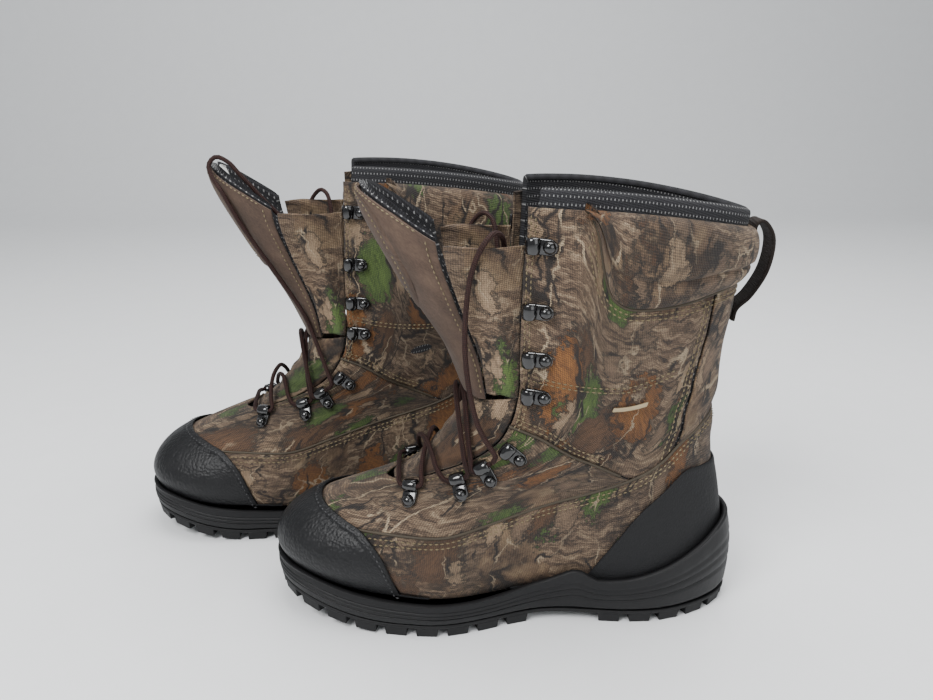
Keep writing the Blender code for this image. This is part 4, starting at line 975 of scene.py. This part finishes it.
def add_lace_pieces(boot):
    """The laced part, which the hooks hold, and the two free ends."""
    for name, route in (("lace", laced_route()), ("lace_end_lateral", free_route(boot, LATERAL)),
                        ("lace_end_medial", free_route(boot, MEDIAL))):
        fine = smooth_run(route, 0.0030)
        mesh = Mesh()
        mesh.grid(sweep(fine, LACE / 2), wrap=True)
        rings = np.array(mesh.points).reshape(12, -1, 3)
        first = len(mesh.points)
        for end in (0, -1):
            mesh.points.append(rings[:, end].mean(axis=0))
            mesh.uvs.append((0, 0))
        count = rings.shape[1]
        for i in range(12):
            j = (i + 1) % 12
            mesh.faces.append([i * count, j * count, first])
            mesh.faces.append([i * count + count - 1, j * count + count - 1, first + 1])
        body = "boot" if name == "lace" else None
        cord = mesh.piece(boot, name, LACE_CORD, body, [name], "lace_cord", closed=True, smooth_angle=80)
        if name != "lace":
            start, end = world_points(boot, [(0.0, 0.165, 0.12), (0.0, 0.205, 0.20)])
            tuple(end)
            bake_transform(cord)
            path = world_points(boot, fine)


# The upper.


def front_open(ks, vs):
    return vs > THROAT + 0.02


def mid_seam_step(side, ks, vs, base, distance):
    """The upper half of the shaft overlaps its lower half."""
    seam = smooth(MID_SEAM)(base[..., 1])[..., 0]
    inside = np.clip((base[..., 1] - MID_SEAM[0][0]) / 0.006, 0, 1)
    inside = inside * np.clip((0.172 - base[..., 1]) / 0.004, 0, 1)
    return (0.0010 / (1 + np.exp((seam - base[..., 2]) / 0.00035)) - 0.0010) * inside


def add_upper(boot):
    quarter, vamp, shafts, backstay, collar, lining = [], [], [], [], [], []
    for side in SIDES:
        ks = np.linspace(0, 1, 110)
        highs = crossing(side, ks, QUARTER_SEAM, -SEAM / 2)
        quarter.append(between(side, ks, 0.0, highs, eased(22, False, True)))
        ks = np.linspace(0.28, 1, 96)
        lows = crossing(side, ks, QUARTER_SEAM, SEAM / 2)
        highs = np.maximum(crossing(side, ks, WING_SEAM, -SEAM / 2), lows + 1e-3)
        throat = np.clip((THROAT - lows[-1]) / (highs[-1] - lows[-1]), 0.05, 0.95)
        above = throat + (1 - throat) * np.linspace(0, 1, 22)[1:] ** 1.5
        rows = np.concatenate([throat * eased(16, True, False), above])
        vamp.append(between(side, ks, lows, highs, rows))
        ks = BACKSTAY_K + 0.004 + (1 - BACKSTAY_K - 0.004) * eased(76)
        lows = np.maximum(crossing(side, ks, QUARTER_SEAM, SEAM / 2), crossing(side, ks, WING_SEAM, SEAM / 2))
        highs = np.minimum(crossing(side, ks, CUFF_SEAM, -SEAM / 2), TOP)
        shafts.append(between(side, ks, lows, highs, eased(64)))
        ks = (BACKSTAY_K - 0.004) * eased(26, False, True)
        backstay.append(between(side, ks, crossing(side, ks, QUARTER_SEAM, SEAM / 2),
                                crossing(side, ks, CUFF_SEAM, -SEAM / 2), eased(44)))
        ks = np.linspace(0, COLLAR_FRONT, 70)
        lows = np.minimum(crossing(side, ks, CUFF_SEAM, SEAM), TOP - 0.02)
        collar.append(between(side, ks, lows, TOP + 0.02, eased(26)))
        ks = np.linspace(0, 1, 96)
        vs = np.concatenate([np.linspace(0.4, 11.6, 44), np.linspace(11.7, LINING_TOP, 9)])
        setback = INSIDE_SETBACK * ks[:, None] ** 8 * np.clip((vs[None, :] - THROAT) / 0.12, 0, 1)
        lining.append((side, ks[:, None] - setback, np.broadcast_to(vs, setback.shape)))
    panel(boot, "quarter", quarter, level(0.0), 0.0014, CAMO["quarter"], ["quarter"], low=False)
    panel(boot, "vamp", vamp, level(0.0), 0.0014, CAMO["vamp"], ["vamp"], last=front_open)
    for side, label, places in zip(SIDES, ("lateral", "medial"), shafts):
        panel(boot, f"shaft_{label}", [places], mid_seam_step, 0.0014,
              CAMO["shaft"], [f"shaft_{label}"], first=True, last=front_open, shift=(0.4 * (side < 0), 0.1))
    panel(boot, "backstay", backstay, level(0.0), 0.0014, CAMO["backstay"], ["backstay"])

    def swell(side, ks, vs, base, distance):
        low = crossing(side, ks[:, 0], CUFF_SEAM, SEAM)[:, None]
        rise = np.clip((vs - low) / (TOP + 0.02 - low), 0, 1)
        crease = np.exp(-((rise - 0.30) / 0.035) ** 2)
        front = np.clip((COLLAR_FRONT - ks) / 0.02, 0, 1) ** 0.5
        return (0.0072 * np.sin(np.pi * rise) ** 0.55 - 0.0030 * crease) * front

    cuff = panel(boot, "collar", collar, swell, 0.0040, CAMO["collar"], ["collar"], drop=0.0016)

    def lining_level(side, ks, vs, base, distance):
        edge = np.clip((LINING_TOP - vs) / 0.35, 0, 1)
        return -0.0052 + 0.0031 * np.sqrt(np.clip(1 - (1 - edge) ** 2, 0, 1)) - ripple(base)

    inner = panel(boot, "lining", lining, lining_level, 0.0040, MESH, ["lining", "insulation"], drop=0.0,
                  slot="black_mesh", last=front_open)


def add_rubber_caps(boot):
    toe, heel = [], []
    for side in SIDES:
        ks = np.linspace(0.615, 1, 70)
        highs = np.maximum(crossing(side, ks, TOE_CAP_EDGE), 0.14)
        toe.append(between(side, ks, 0.10, highs, eased(36, False, True)))
        ks = np.linspace(0, 0.50, 80)
        highs = np.maximum(crossing(side, ks, HEEL_CAP_EDGE), 0.14)
        heel.append(between(side, ks, 0.10, highs, eased(36, False, True)))

    def lipped(side, ks, vs, base, distance):
        groove = np.exp(-((distance - 0.0058) / 0.0009) ** 2)
        return 0.0026 - 0.0006 * groove + 0.0003 * (distance < 0.0055) - ripple(base)

    def plain_cap(side, ks, vs, base, distance):
        return 0.0026 - ripple(base)

    panel(boot, "toe_cap", toe, lipped, 0.0016, TOE_RUBBER, ["toe_cap"], drop=0.0012,
          slot="black_rubber", low=False)
    panel(boot, "heel_cap", heel, plain_cap, 0.0016, HEEL_RUBBER, ["heel_cap"], drop=0.0014,
          slot="black_rubber", low=False)


# The sole.


def dense_ring(ks, out, height):
    """One loop of the sole at a height that varies along it, following the upper above its lower edge."""
    table = [(s, float(height(s))) for s in np.linspace(-0.05, 0.40, 46)]
    sides = []
    for side in SIDES:
        v = crossing(side, ks, table)
        points = outline(side, ks, out, v)
        points[:, 2] = height(points[:, 1])
        sides.append(points)
    return np.concatenate([sides[0], sides[1][-2:0:-1]])


def add_midsole(boot):
    ks = np.linspace(0, 1, 90)
    flare = RIM + RIM_THICKNESS
    profile = [(flare - 0.0040, 0.0), (flare - 0.0018, 0.03)]
    for part in np.linspace(0.08, 0.94, 26):
        cut = sum(np.exp(-((part - at) / 0.022) ** 2) for at in (0.36, 0.52, 0.68))
        profile.append((flare - 0.0008 + 0.0016 * np.sin(np.pi * part) - 0.0009 * cut, part))
    profile += [(flare - 0.0003, 0.97), (flare - 0.0012, 0.995), (flare - 0.0024, 1.0), (RIM - 0.0002, 0.985),
                (RIM - 0.0009, 0.90), (RIM - 0.0014, 0.30), (RIM - 0.0030, 0.0)]
    rings = []
    for out, part in profile:
        def height(s):
            return midsole_base(s) + (rim_height(s) - midsole_base(s)) * part

        rings.append(dense_ring(ks, out, height))
    mesh = Mesh()
    mesh.grid(np.swapaxes(np.array(rings + rings[:1]), 0, 1), wrap=True)
    mesh.piece(boot, "midsole", SOLE_RUBBER, "boot", ["midsole"], "black_rubber", closed=True)


def block(mesh, corners, low, high, taper=0.88):
    """A tread block over four corners, narrower at the ground."""
    corners = np.array(corners, float)
    centre = corners.mean(axis=0)
    points = []
    for scale, height in ((1.0, high), (taper, low)):
        for corner in corners:
            point = centre + (corner - centre) * scale
            points.append((point[0], point[1], float(height(point[1]))))
    faces = [[0, 1, 2, 3], [7, 6, 5, 4]] + [[i, i + 4, (i + 1) % 4 + 4, (i + 1) % 4] for i in range(4)]
    mesh.solid(points, faces)


def add_outsole_look(boot):
    ks = np.linspace(0, 1, 70)
    flare = RIM + RIM_THICKNESS

    def top(s):
        return midsole_base(s) - 0.0002

    def tread(s):
        return ground_height(s) + LUG_DEPTH

    mesh = Mesh()
    rings = [dense_ring(ks, out, height) for out, height in (
        (flare - 0.0040, top), (flare - 0.0010, top), (flare - 0.0006, lambda s: (top(s) + tread(s)) / 2),
        (flare - 0.0016, tread), (flare - 0.0050, tread))]
    mesh.grid(np.swapaxes(np.array(rings), 0, 1), wrap=True)
    for ring_points in (rings[0], rings[-1]):
        count = len(ring_points)
        mesh.solid(ring_points, [[i, i + 1, count - i - 1, (count - i) % count]
                                 for i in range(0, count // 2)])
    for side in SIDES:
        line = outline(side, np.linspace(0.0, 1, 400), flare - 0.0010, 0.0)
        inner = outline(side, np.linspace(0.0, 1, 400), flare - 0.0150, 0.0)
        run = np.concatenate([[0], np.cumsum(np.linalg.norm(np.diff(line, axis=0), axis=1))])
        for start in np.arange(0.0018, run[-1] - 0.012, 0.0205):
            spots = [float(np.interp(start + d, run, np.arange(400))) for d in (0, 0.0152)]
            (a, b), (c, d) = (
                [np.array([np.interp(t, np.arange(400), edge[:, i]) for i in range(3)]) for t in spots]
                for edge in (line, inner)
            )
            middle = (a[1] + b[1]) / 2
            if 0.104 < middle < 0.150:
                continue
            block(mesh, [a, b, d, c], ground_height, lambda s: tread(s) + 0.0006)
    for s in np.arange(0.028, 0.296, 0.0150):
        if 0.104 < s < 0.150:
            continue
        reach = []
        for side in SIDES:
            edge = outline(side, np.linspace(0.0, 1, 200), flare - 0.0185, 0.0)
            reach.append(float(np.interp(s, edge[:, 1], edge[:, 0])))
        high, low = reach
        if high - low < 0.022:
            continue
        middle = (high + low) / 2
        for first, last in ((low, middle - 0.0015), (middle + 0.0015, high)):
            lean = 0.004 if last <= middle else -0.004
            block(mesh, [(first, s - lean, 0), (last, s + lean, 0), (last, s + lean + 0.0095, 0),
                         (first, s - lean + 0.0095, 0)], ground_height, lambda s: tread(s) + 0.0006, 0.84)
    piece = mesh.piece(boot, "outsole", TREAD_RUBBER, "boot", ["outsole"], "outsole_rubber", closed=True,
                       smooth_angle=30)
    bevel = piece.modifiers.new("edges", "BEVEL")
    bevel.width = 0.0005
    bevel.segments = 2
    bevel.limit_method = "ANGLE"
    bevel.angle_limit = np.radians(40)


# The tongue.


def tongue_grid(phis, ts, out_at):
    points, normals = [], []
    for phi in phis:
        column = [tongue_point(phi, t) for t in ts]
        facing = [tongue_normal(phi, t) for t in ts]
        points.append([p + n * out_at(phi, t) for p, n, t in zip(column, facing, ts)])
        normals.append(facing)
    return np.array(points), np.array(normals)


def patch_place(turn, size):
    """A place (phi, t) on the tongue's patch: size is 0 at its centre and 1 at its edge."""
    t = 0.62 + 0.24 * size * np.sign(np.sin(turn)) * abs(np.sin(turn)) ** 0.8
    return 0.50 * size * np.cos(turn), t


def add_tongue_look(boot):
    def edge_drop(phi, t, low, high):
        near = min(abs(0.95 - abs(phi)) * 0.045, abs(t - low) * 0.13, abs(high - t) * 0.13)
        return 0.0011 * (1 - np.sqrt(max(0.0, 1 - (1 - min(near / 0.0026, 1)) ** 2)))

    phis = -0.95 + 1.9 * eased(46)
    mesh = Mesh()
    mesh.grid(*tongue_grid(phis, TONGUE_FACE_TOP * eased(54), lambda phi, t: 0.0004 * np.sin(9 * phi + 14 * t)
                           - edge_drop(phi, t, -1, TONGUE_FACE_TOP)))
    mesh.piece(boot, "tongue_face", NUBUCK, "tongue", ["tongue_face"], "nubuck", thickness=0.0020)
    mesh = Mesh()
    mesh.grid(*tongue_grid(phis, eased(40), lambda phi, t: -0.0026 - edge_drop(phi, t, -1, 1.0)
                           + 0.0004 * np.sin(20 * t)))
    pad = mesh.piece(boot, "tongue_padding", MESH, "tongue", ["tongue_padding"], "black_mesh",
                     thickness=0.0052)
    mesh = Mesh()
    points, normals = [], []
    for turn in np.linspace(0, 2 * np.pi, 48, endpoint=False):
        column, facing = [], []
        for size in np.linspace(0.0, 1.0, 14) ** 0.7:
            phi, t = patch_place(turn, size)
            normal = tongue_normal(phi, t)
            rise = 0.0016 * np.sqrt(max(0.0, 1 - size ** 10)) - 0.00045 * np.exp(-((size - 0.80) / 0.06) ** 2)
            column.append(tongue_point(phi, t) + normal * rise)
            facing.append(normal)
        points.append(column)
        normals.append(facing)
    mesh.grid(np.array(points), np.array(normals), wrap=True)
    mesh.piece(boot, "tongue_patch", NUBUCK, "tongue", [], "nubuck")
    if boot == "right":
        mesh = Mesh()
        mesh.grid(*tongue_grid(np.linspace(-0.30, 0.22, 16), np.linspace(0.66, 0.93, 22),
                               lambda phi, t: -0.0088 + 0.0004 * np.sin(30 * t + 5 * phi)))
        mesh.piece(boot, "blank_label", LABEL, "tongue", [], "black_mesh", thickness=0.0005)
    mesh = Mesh()
    low, high = LOWER_TONGUE
    grid = [[lower_tongue_point(phi, v, LOWER_TONGUE_LAYER[1] + 0.0006 * np.sin(16 * v + 2 * phi))
             for v in np.linspace(low - 0.1, high + 0.30, 40)] for phi in np.linspace(-1.04, 1.04, 44)]
    grid = np.array(grid)
    outward = np.broadcast_to(np.array((0.0, 0.7, 0.7)), grid.shape)
    mesh.grid(grid, outward)
    mesh.piece(boot, "tongue_lower", CAMO["tongue"], "boot", ["tongue_lower"], "camo_fabric",
               thickness=0.0030)
    for side, label in zip(SIDES, ("lateral", "medial")):
        grid = []
        for across in np.linspace(0.0, 1.0, 26):
            column = []
            for t in np.linspace(0.04, 0.92, 40):
                pleat = 0.0011 * np.sin(3 * np.pi * across + 5 * t) + 0.0006 * np.sin(26 * t + 7 * across)
                column.append(gusset_point(side, across, t) + np.array((side * pleat, 0, 0)))
            grid.append(column)
        mesh = Mesh()
        mesh.grid(np.array(grid), np.broadcast_to(np.array((side, 0.0, 0.0)), (26, 40, 3)))
        across, up = np.array(grid).shape[:2]
        web = mesh.piece(boot, f"gusset_{label}", CAMO["gusset"], None, [f"gusset_{label}"], "camo_fabric",
                         thickness=0.0010)
        start, end = world_points(boot, [(side * 0.036, 0.162, 0.21), (side * 0.033, 0.196, 0.21)])
        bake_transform(web)


# Stitching.


def add_stitches(mesh, points, normals, pitch=0.0036, long=0.0028, wide=0.00115):
    """Thread lying along a line, a stitch at a time."""
    points = np.asarray(points, float)
    run = np.concatenate([[0], np.cumsum(np.linalg.norm(np.diff(points, axis=0), axis=1))])
    for at in np.arange(pitch / 2, run[-1] - pitch / 2, pitch):
        def spot(where):
            return np.array([np.interp(where, run, points[:, i]) for i in range(3)])

        normal = np.array([np.interp(at, run, normals[:, i]) for i in range(3)])
        normal /= np.linalg.norm(normal)
        centre, ahead = spot(at), spot(at + 0.0006) - spot(at - 0.0006)
        ahead /= np.linalg.norm(ahead)
        side = np.cross(normal, ahead)
        ring_points = [centre + (side * np.cos(a) + normal * np.sin(a)) * wide / 2
                       for a in np.linspace(0, 2 * np.pi, 6, endpoint=False)]
        ends = [centre - ahead * long / 2 - normal * 0.0003, centre + ahead * long / 2 - normal * 0.0003]
        faces = [[0, 2 + (i + 1) % 6, 2 + i] for i in range(6)]
        faces += [[1, 2 + i, 2 + (i + 1) % 6] for i in range(6)]
        mesh.solid(ends + ring_points, faces)


def surface_line(side, ks, vs, out):
    base, normal = upper_point(side, ks, vs), upper_normal(side, ks, vs)
    return base + normal * (out + ripple(base))[..., None], normal


def inset_line(side, vs, distance):
    """A line on the upper that runs beside the throat's edge."""
    places = np.array([inset_place(side, v, distance) for v in vs])
    return surface_line(side, places[:, 0], places[:, 1], 0.0003)


def add_stitching(boot):
    mesh, dark = Mesh(), Mesh()
    for side in SIDES:
        for shift in (-0.0032, -0.0062):
            ks = np.linspace(0, 1, 160)
            add_stitches(mesh, *surface_line(side, ks, crossing(side, ks, QUARTER_SEAM, shift), 0.0003))
            ks = np.linspace(0, 0.72, 120)
            add_stitches(mesh, *surface_line(side, ks, crossing(side, ks, CUFF_SEAM, shift), 0.0003))
            ks = np.linspace(0.43, 1, 120)
            vs = crossing(side, ks, WING_SEAM, -shift)
            keep = vs > crossing(side, ks, QUARTER_SEAM, -shift)
            add_stitches(mesh, *surface_line(side, ks[keep], vs[keep], 0.0003))
            add_stitches(mesh, *inset_line(side, np.linspace(7.35, 11.9, 44), -shift))
            k = BACKSTAY_K + 0.006 + (-shift) * 5.2
            low = float(crossing(side, k, QUARTER_SEAM, 0.002))
            high = float(crossing(side, k, CUFF_SEAM, -0.002))
            vs = np.linspace(low, high, 60)
            add_stitches(mesh, *surface_line(side, np.full(60, k), vs, 0.0003))
        for shift in (0.0028, 0.0056):
            ks = np.linspace(0.34, 0.93, 120)
            add_stitches(mesh, *surface_line(side, ks, crossing(side, ks, MID_SEAM, shift), 0.0003))
        add_stitches(mesh, *inset_line(side, np.linspace(5.62, 7.2, 24), 0.0034))
        ks = np.linspace(0.66, 1, 90)
        line, normal = surface_line(side, ks, crossing(side, ks, TOE_CAP_EDGE, -0.0030), 0.0029)
        add_stitches(dark, line - normal * ripple(line)[..., None], normal)
    mesh.piece(boot, "stitching", THREAD, "boot", [], "camo_fabric", closed=True)
    edging = Mesh()
    for side in SIDES:
        for seam, first, last in ((QUARTER_SEAM, 0.0, 1.0), (CUFF_SEAM, 0.0, 0.74), (WING_SEAM, 0.36, 1.0)):
            ks = np.linspace(first, last, 150)
            vs = crossing(side, ks, seam)
            keep = vs >= crossing(side, ks, QUARTER_SEAM) - 1e-6
            line, normal = surface_line(side, ks[keep], np.minimum(vs[keep], TOP), -0.0004)
            edging.grid(sweep(line, 0.00095, 8), wrap=True)
    edging.piece(boot, "edging", EDGING, "boot", [], "camo_fabric", closed=True)
    tab = Mesh()
    ks = np.linspace(0.41, 0.53, 24)
    low = crossing(1, ks, MID_SEAM, -0.0100)
    high = crossing(1, ks, MID_SEAM, -0.0076)
    vs = low[:, None] + (high - low)[:, None] * np.linspace(0, 1, 5)
    ks = np.broadcast_to(ks[:, None], vs.shape)
    tab.grid(*[upper_point(1, ks, vs) + upper_normal(1, ks, vs) * 0.0013, upper_normal(1, ks, vs)])
    tab.piece(boot, "blank_tab", TAB, "boot", [], "camo_fabric", thickness=0.0010)
    dark.piece(boot, "cap_stitching", BLACK_THREAD, "boot", [], "black_rubber", closed=True)
    mesh = Mesh()
    phis = np.linspace(-0.84, 0.84, 60)
    for t in (0.885,):
        points = np.array([tongue_point(phi, t) + tongue_normal(phi, t) * 0.0005 for phi in phis])
        add_stitches(mesh, points, np.array([tongue_normal(phi, t) for phi in phis]))
    for phi in (-0.87, 0.87):
        ts = np.linspace(0.03, 0.885, 60)
        points = np.array([tongue_point(phi, t) + tongue_normal(phi, t) * 0.0004 for t in ts])
        add_stitches(mesh, points, np.array([tongue_normal(phi, t) for t in ts]))
    turns = np.linspace(0, 2 * np.pi, 90)
    places = [patch_place(a, 0.80) for a in turns]
    add_stitches(mesh, np.array([tongue_point(*p) + tongue_normal(*p) * 0.0013 for p in places]),
                 np.array([tongue_normal(*p) for p in places]))
    mesh.piece(boot, "tongue_stitching", THREAD, "tongue", [], "nubuck", closed=True)


# The hooks and the pull loop.


def add_hook_look(boot):
    mesh = Mesh()
    for side in SIDES:
        for edge_v in HOOK_LOWER + HOOK_UPPER:
            point, away, along, normal = hook_frame(side, edge_v)

            def spot(a, y, n):
                return point + away * a + along * y + normal * n

            turn = np.linspace(0, 2 * np.pi, 28, endpoint=False)
            rows = []
            for size, n in ((0.0, 0.0030), (0.80, 0.0030), (0.95, 0.0027), (1.0, 0.0020), (0.97, 0.0010)):
                rows.append([spot(-0.0004 + np.sign(np.cos(a)) * (0.0045 + 0.0049 * size * abs(np.cos(a)))
                                  * min(1, size), 0.0049 * size * np.sin(a), n) for a in turn])
            mesh.grid(np.swapaxes(np.array(rows), 0, 1), wrap=True)
            rows = []
            for size, n in ((0.0, 0.0062), (0.35, 0.0060), (0.65, 0.0053), (0.88, 0.0041), (1.0, 0.0029)):
                dome = 0.0040 * size
                rows.append([spot(0.0046 + dome * np.cos(a), dome * np.sin(a), n) for a in turn])
            mesh.grid(np.swapaxes(np.array(rows), 0, 1), wrap=True)
            arch = []
            for a in np.linspace(-0.25, np.pi + 0.25, 22):
                middle = spot(-0.0052 - 0.0037 * np.cos(a), 0, 0.0030 + 0.0038 * np.sin(a))
                out = away * -np.cos(a) + normal * np.sin(a)
                loop = [(0.0041, -0.0006), (0.0047, 0.0), (0.0041, 0.0006), (0.0015, 0.00085),
                        (-0.0015, 0.00085), (-0.0041, 0.0006), (-0.0047, 0.0), (-0.0041, -0.0006)]
                arch.append([middle + along * y + out * n for y, n in loop])
            mesh.grid(np.swapaxes(np.array(arch), 0, 1), wrap=True)
    mesh.piece(boot, "hooks", HOOK_METAL, "boot", ["hooks_lateral", "hooks_medial"], "hook_metal",
               closed=True, smooth_angle=60)


def add_loop_look(boot):
    line = smooth_run([(0, s, z) for s, z in LOOP_LINE], 0.0016)
    lean = np.gradient(line, axis=0)
    normal = np.stack([np.zeros(len(line)), lean[:, 2], -lean[:, 1]], axis=1)
    normal /= np.linalg.norm(normal, axis=1, keepdims=True)
    half, thick = LOOP_HALF_WIDTH, LOOP_THICKNESS / 2
    section = [(half, 0.0), (half - 0.0004, 0.8), (half - 0.0014, 1.0), (0.003, 0.85), (-0.003, 0.85),
               (0.0014 - half, 1.0), (0.0004 - half, 0.8), (-half, 0.0), (0.0004 - half, -0.8),
               (0.0014 - half, -1.0), (-0.003, -0.85), (0.003, -0.85), (half - 0.0014, -1.0),
               (half - 0.0004, -0.8)]
    rows = [[point + np.array((x, 0, 0)) + out * n * thick for x, n in section]
            for point, out in zip(line, normal)]
    mesh = Mesh()
    mesh.grid(np.swapaxes(np.array(rows), 0, 1), wrap=True)
    first = len(section)
    count = len(line)
    mesh.faces.append([i * count for i in range(first)])
    mesh.faces.append([i * count + count - 1 for i in range(first)])
    mesh.piece(boot, "pull_loop", WEBBING, "boot", ["pull_loop"], "webbing", closed=True)


def main():
    add_camera()
    for boot in ("left", "right"):
        add_lace_pieces(boot)
    add_studio()
    for boot in ("left", "right"):
        add_upper(boot)
        add_rubber_caps(boot)
        add_midsole(boot)
        add_outsole_look(boot)
        add_tongue_look(boot)
        add_stitching(boot)
        add_hook_look(boot)
        add_loop_look(boot)
        for node, finish in (("shank", STEEL), ("lasting_board", BOARD), ("footbed", FOAM)):
            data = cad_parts[f"{boot}_{node}"].data
            data.materials.clear()
            data.materials.append(finish)


main()
sizes = [[[float(x) for x in corner] for corner in box] for box in (CAD_BOX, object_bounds())]
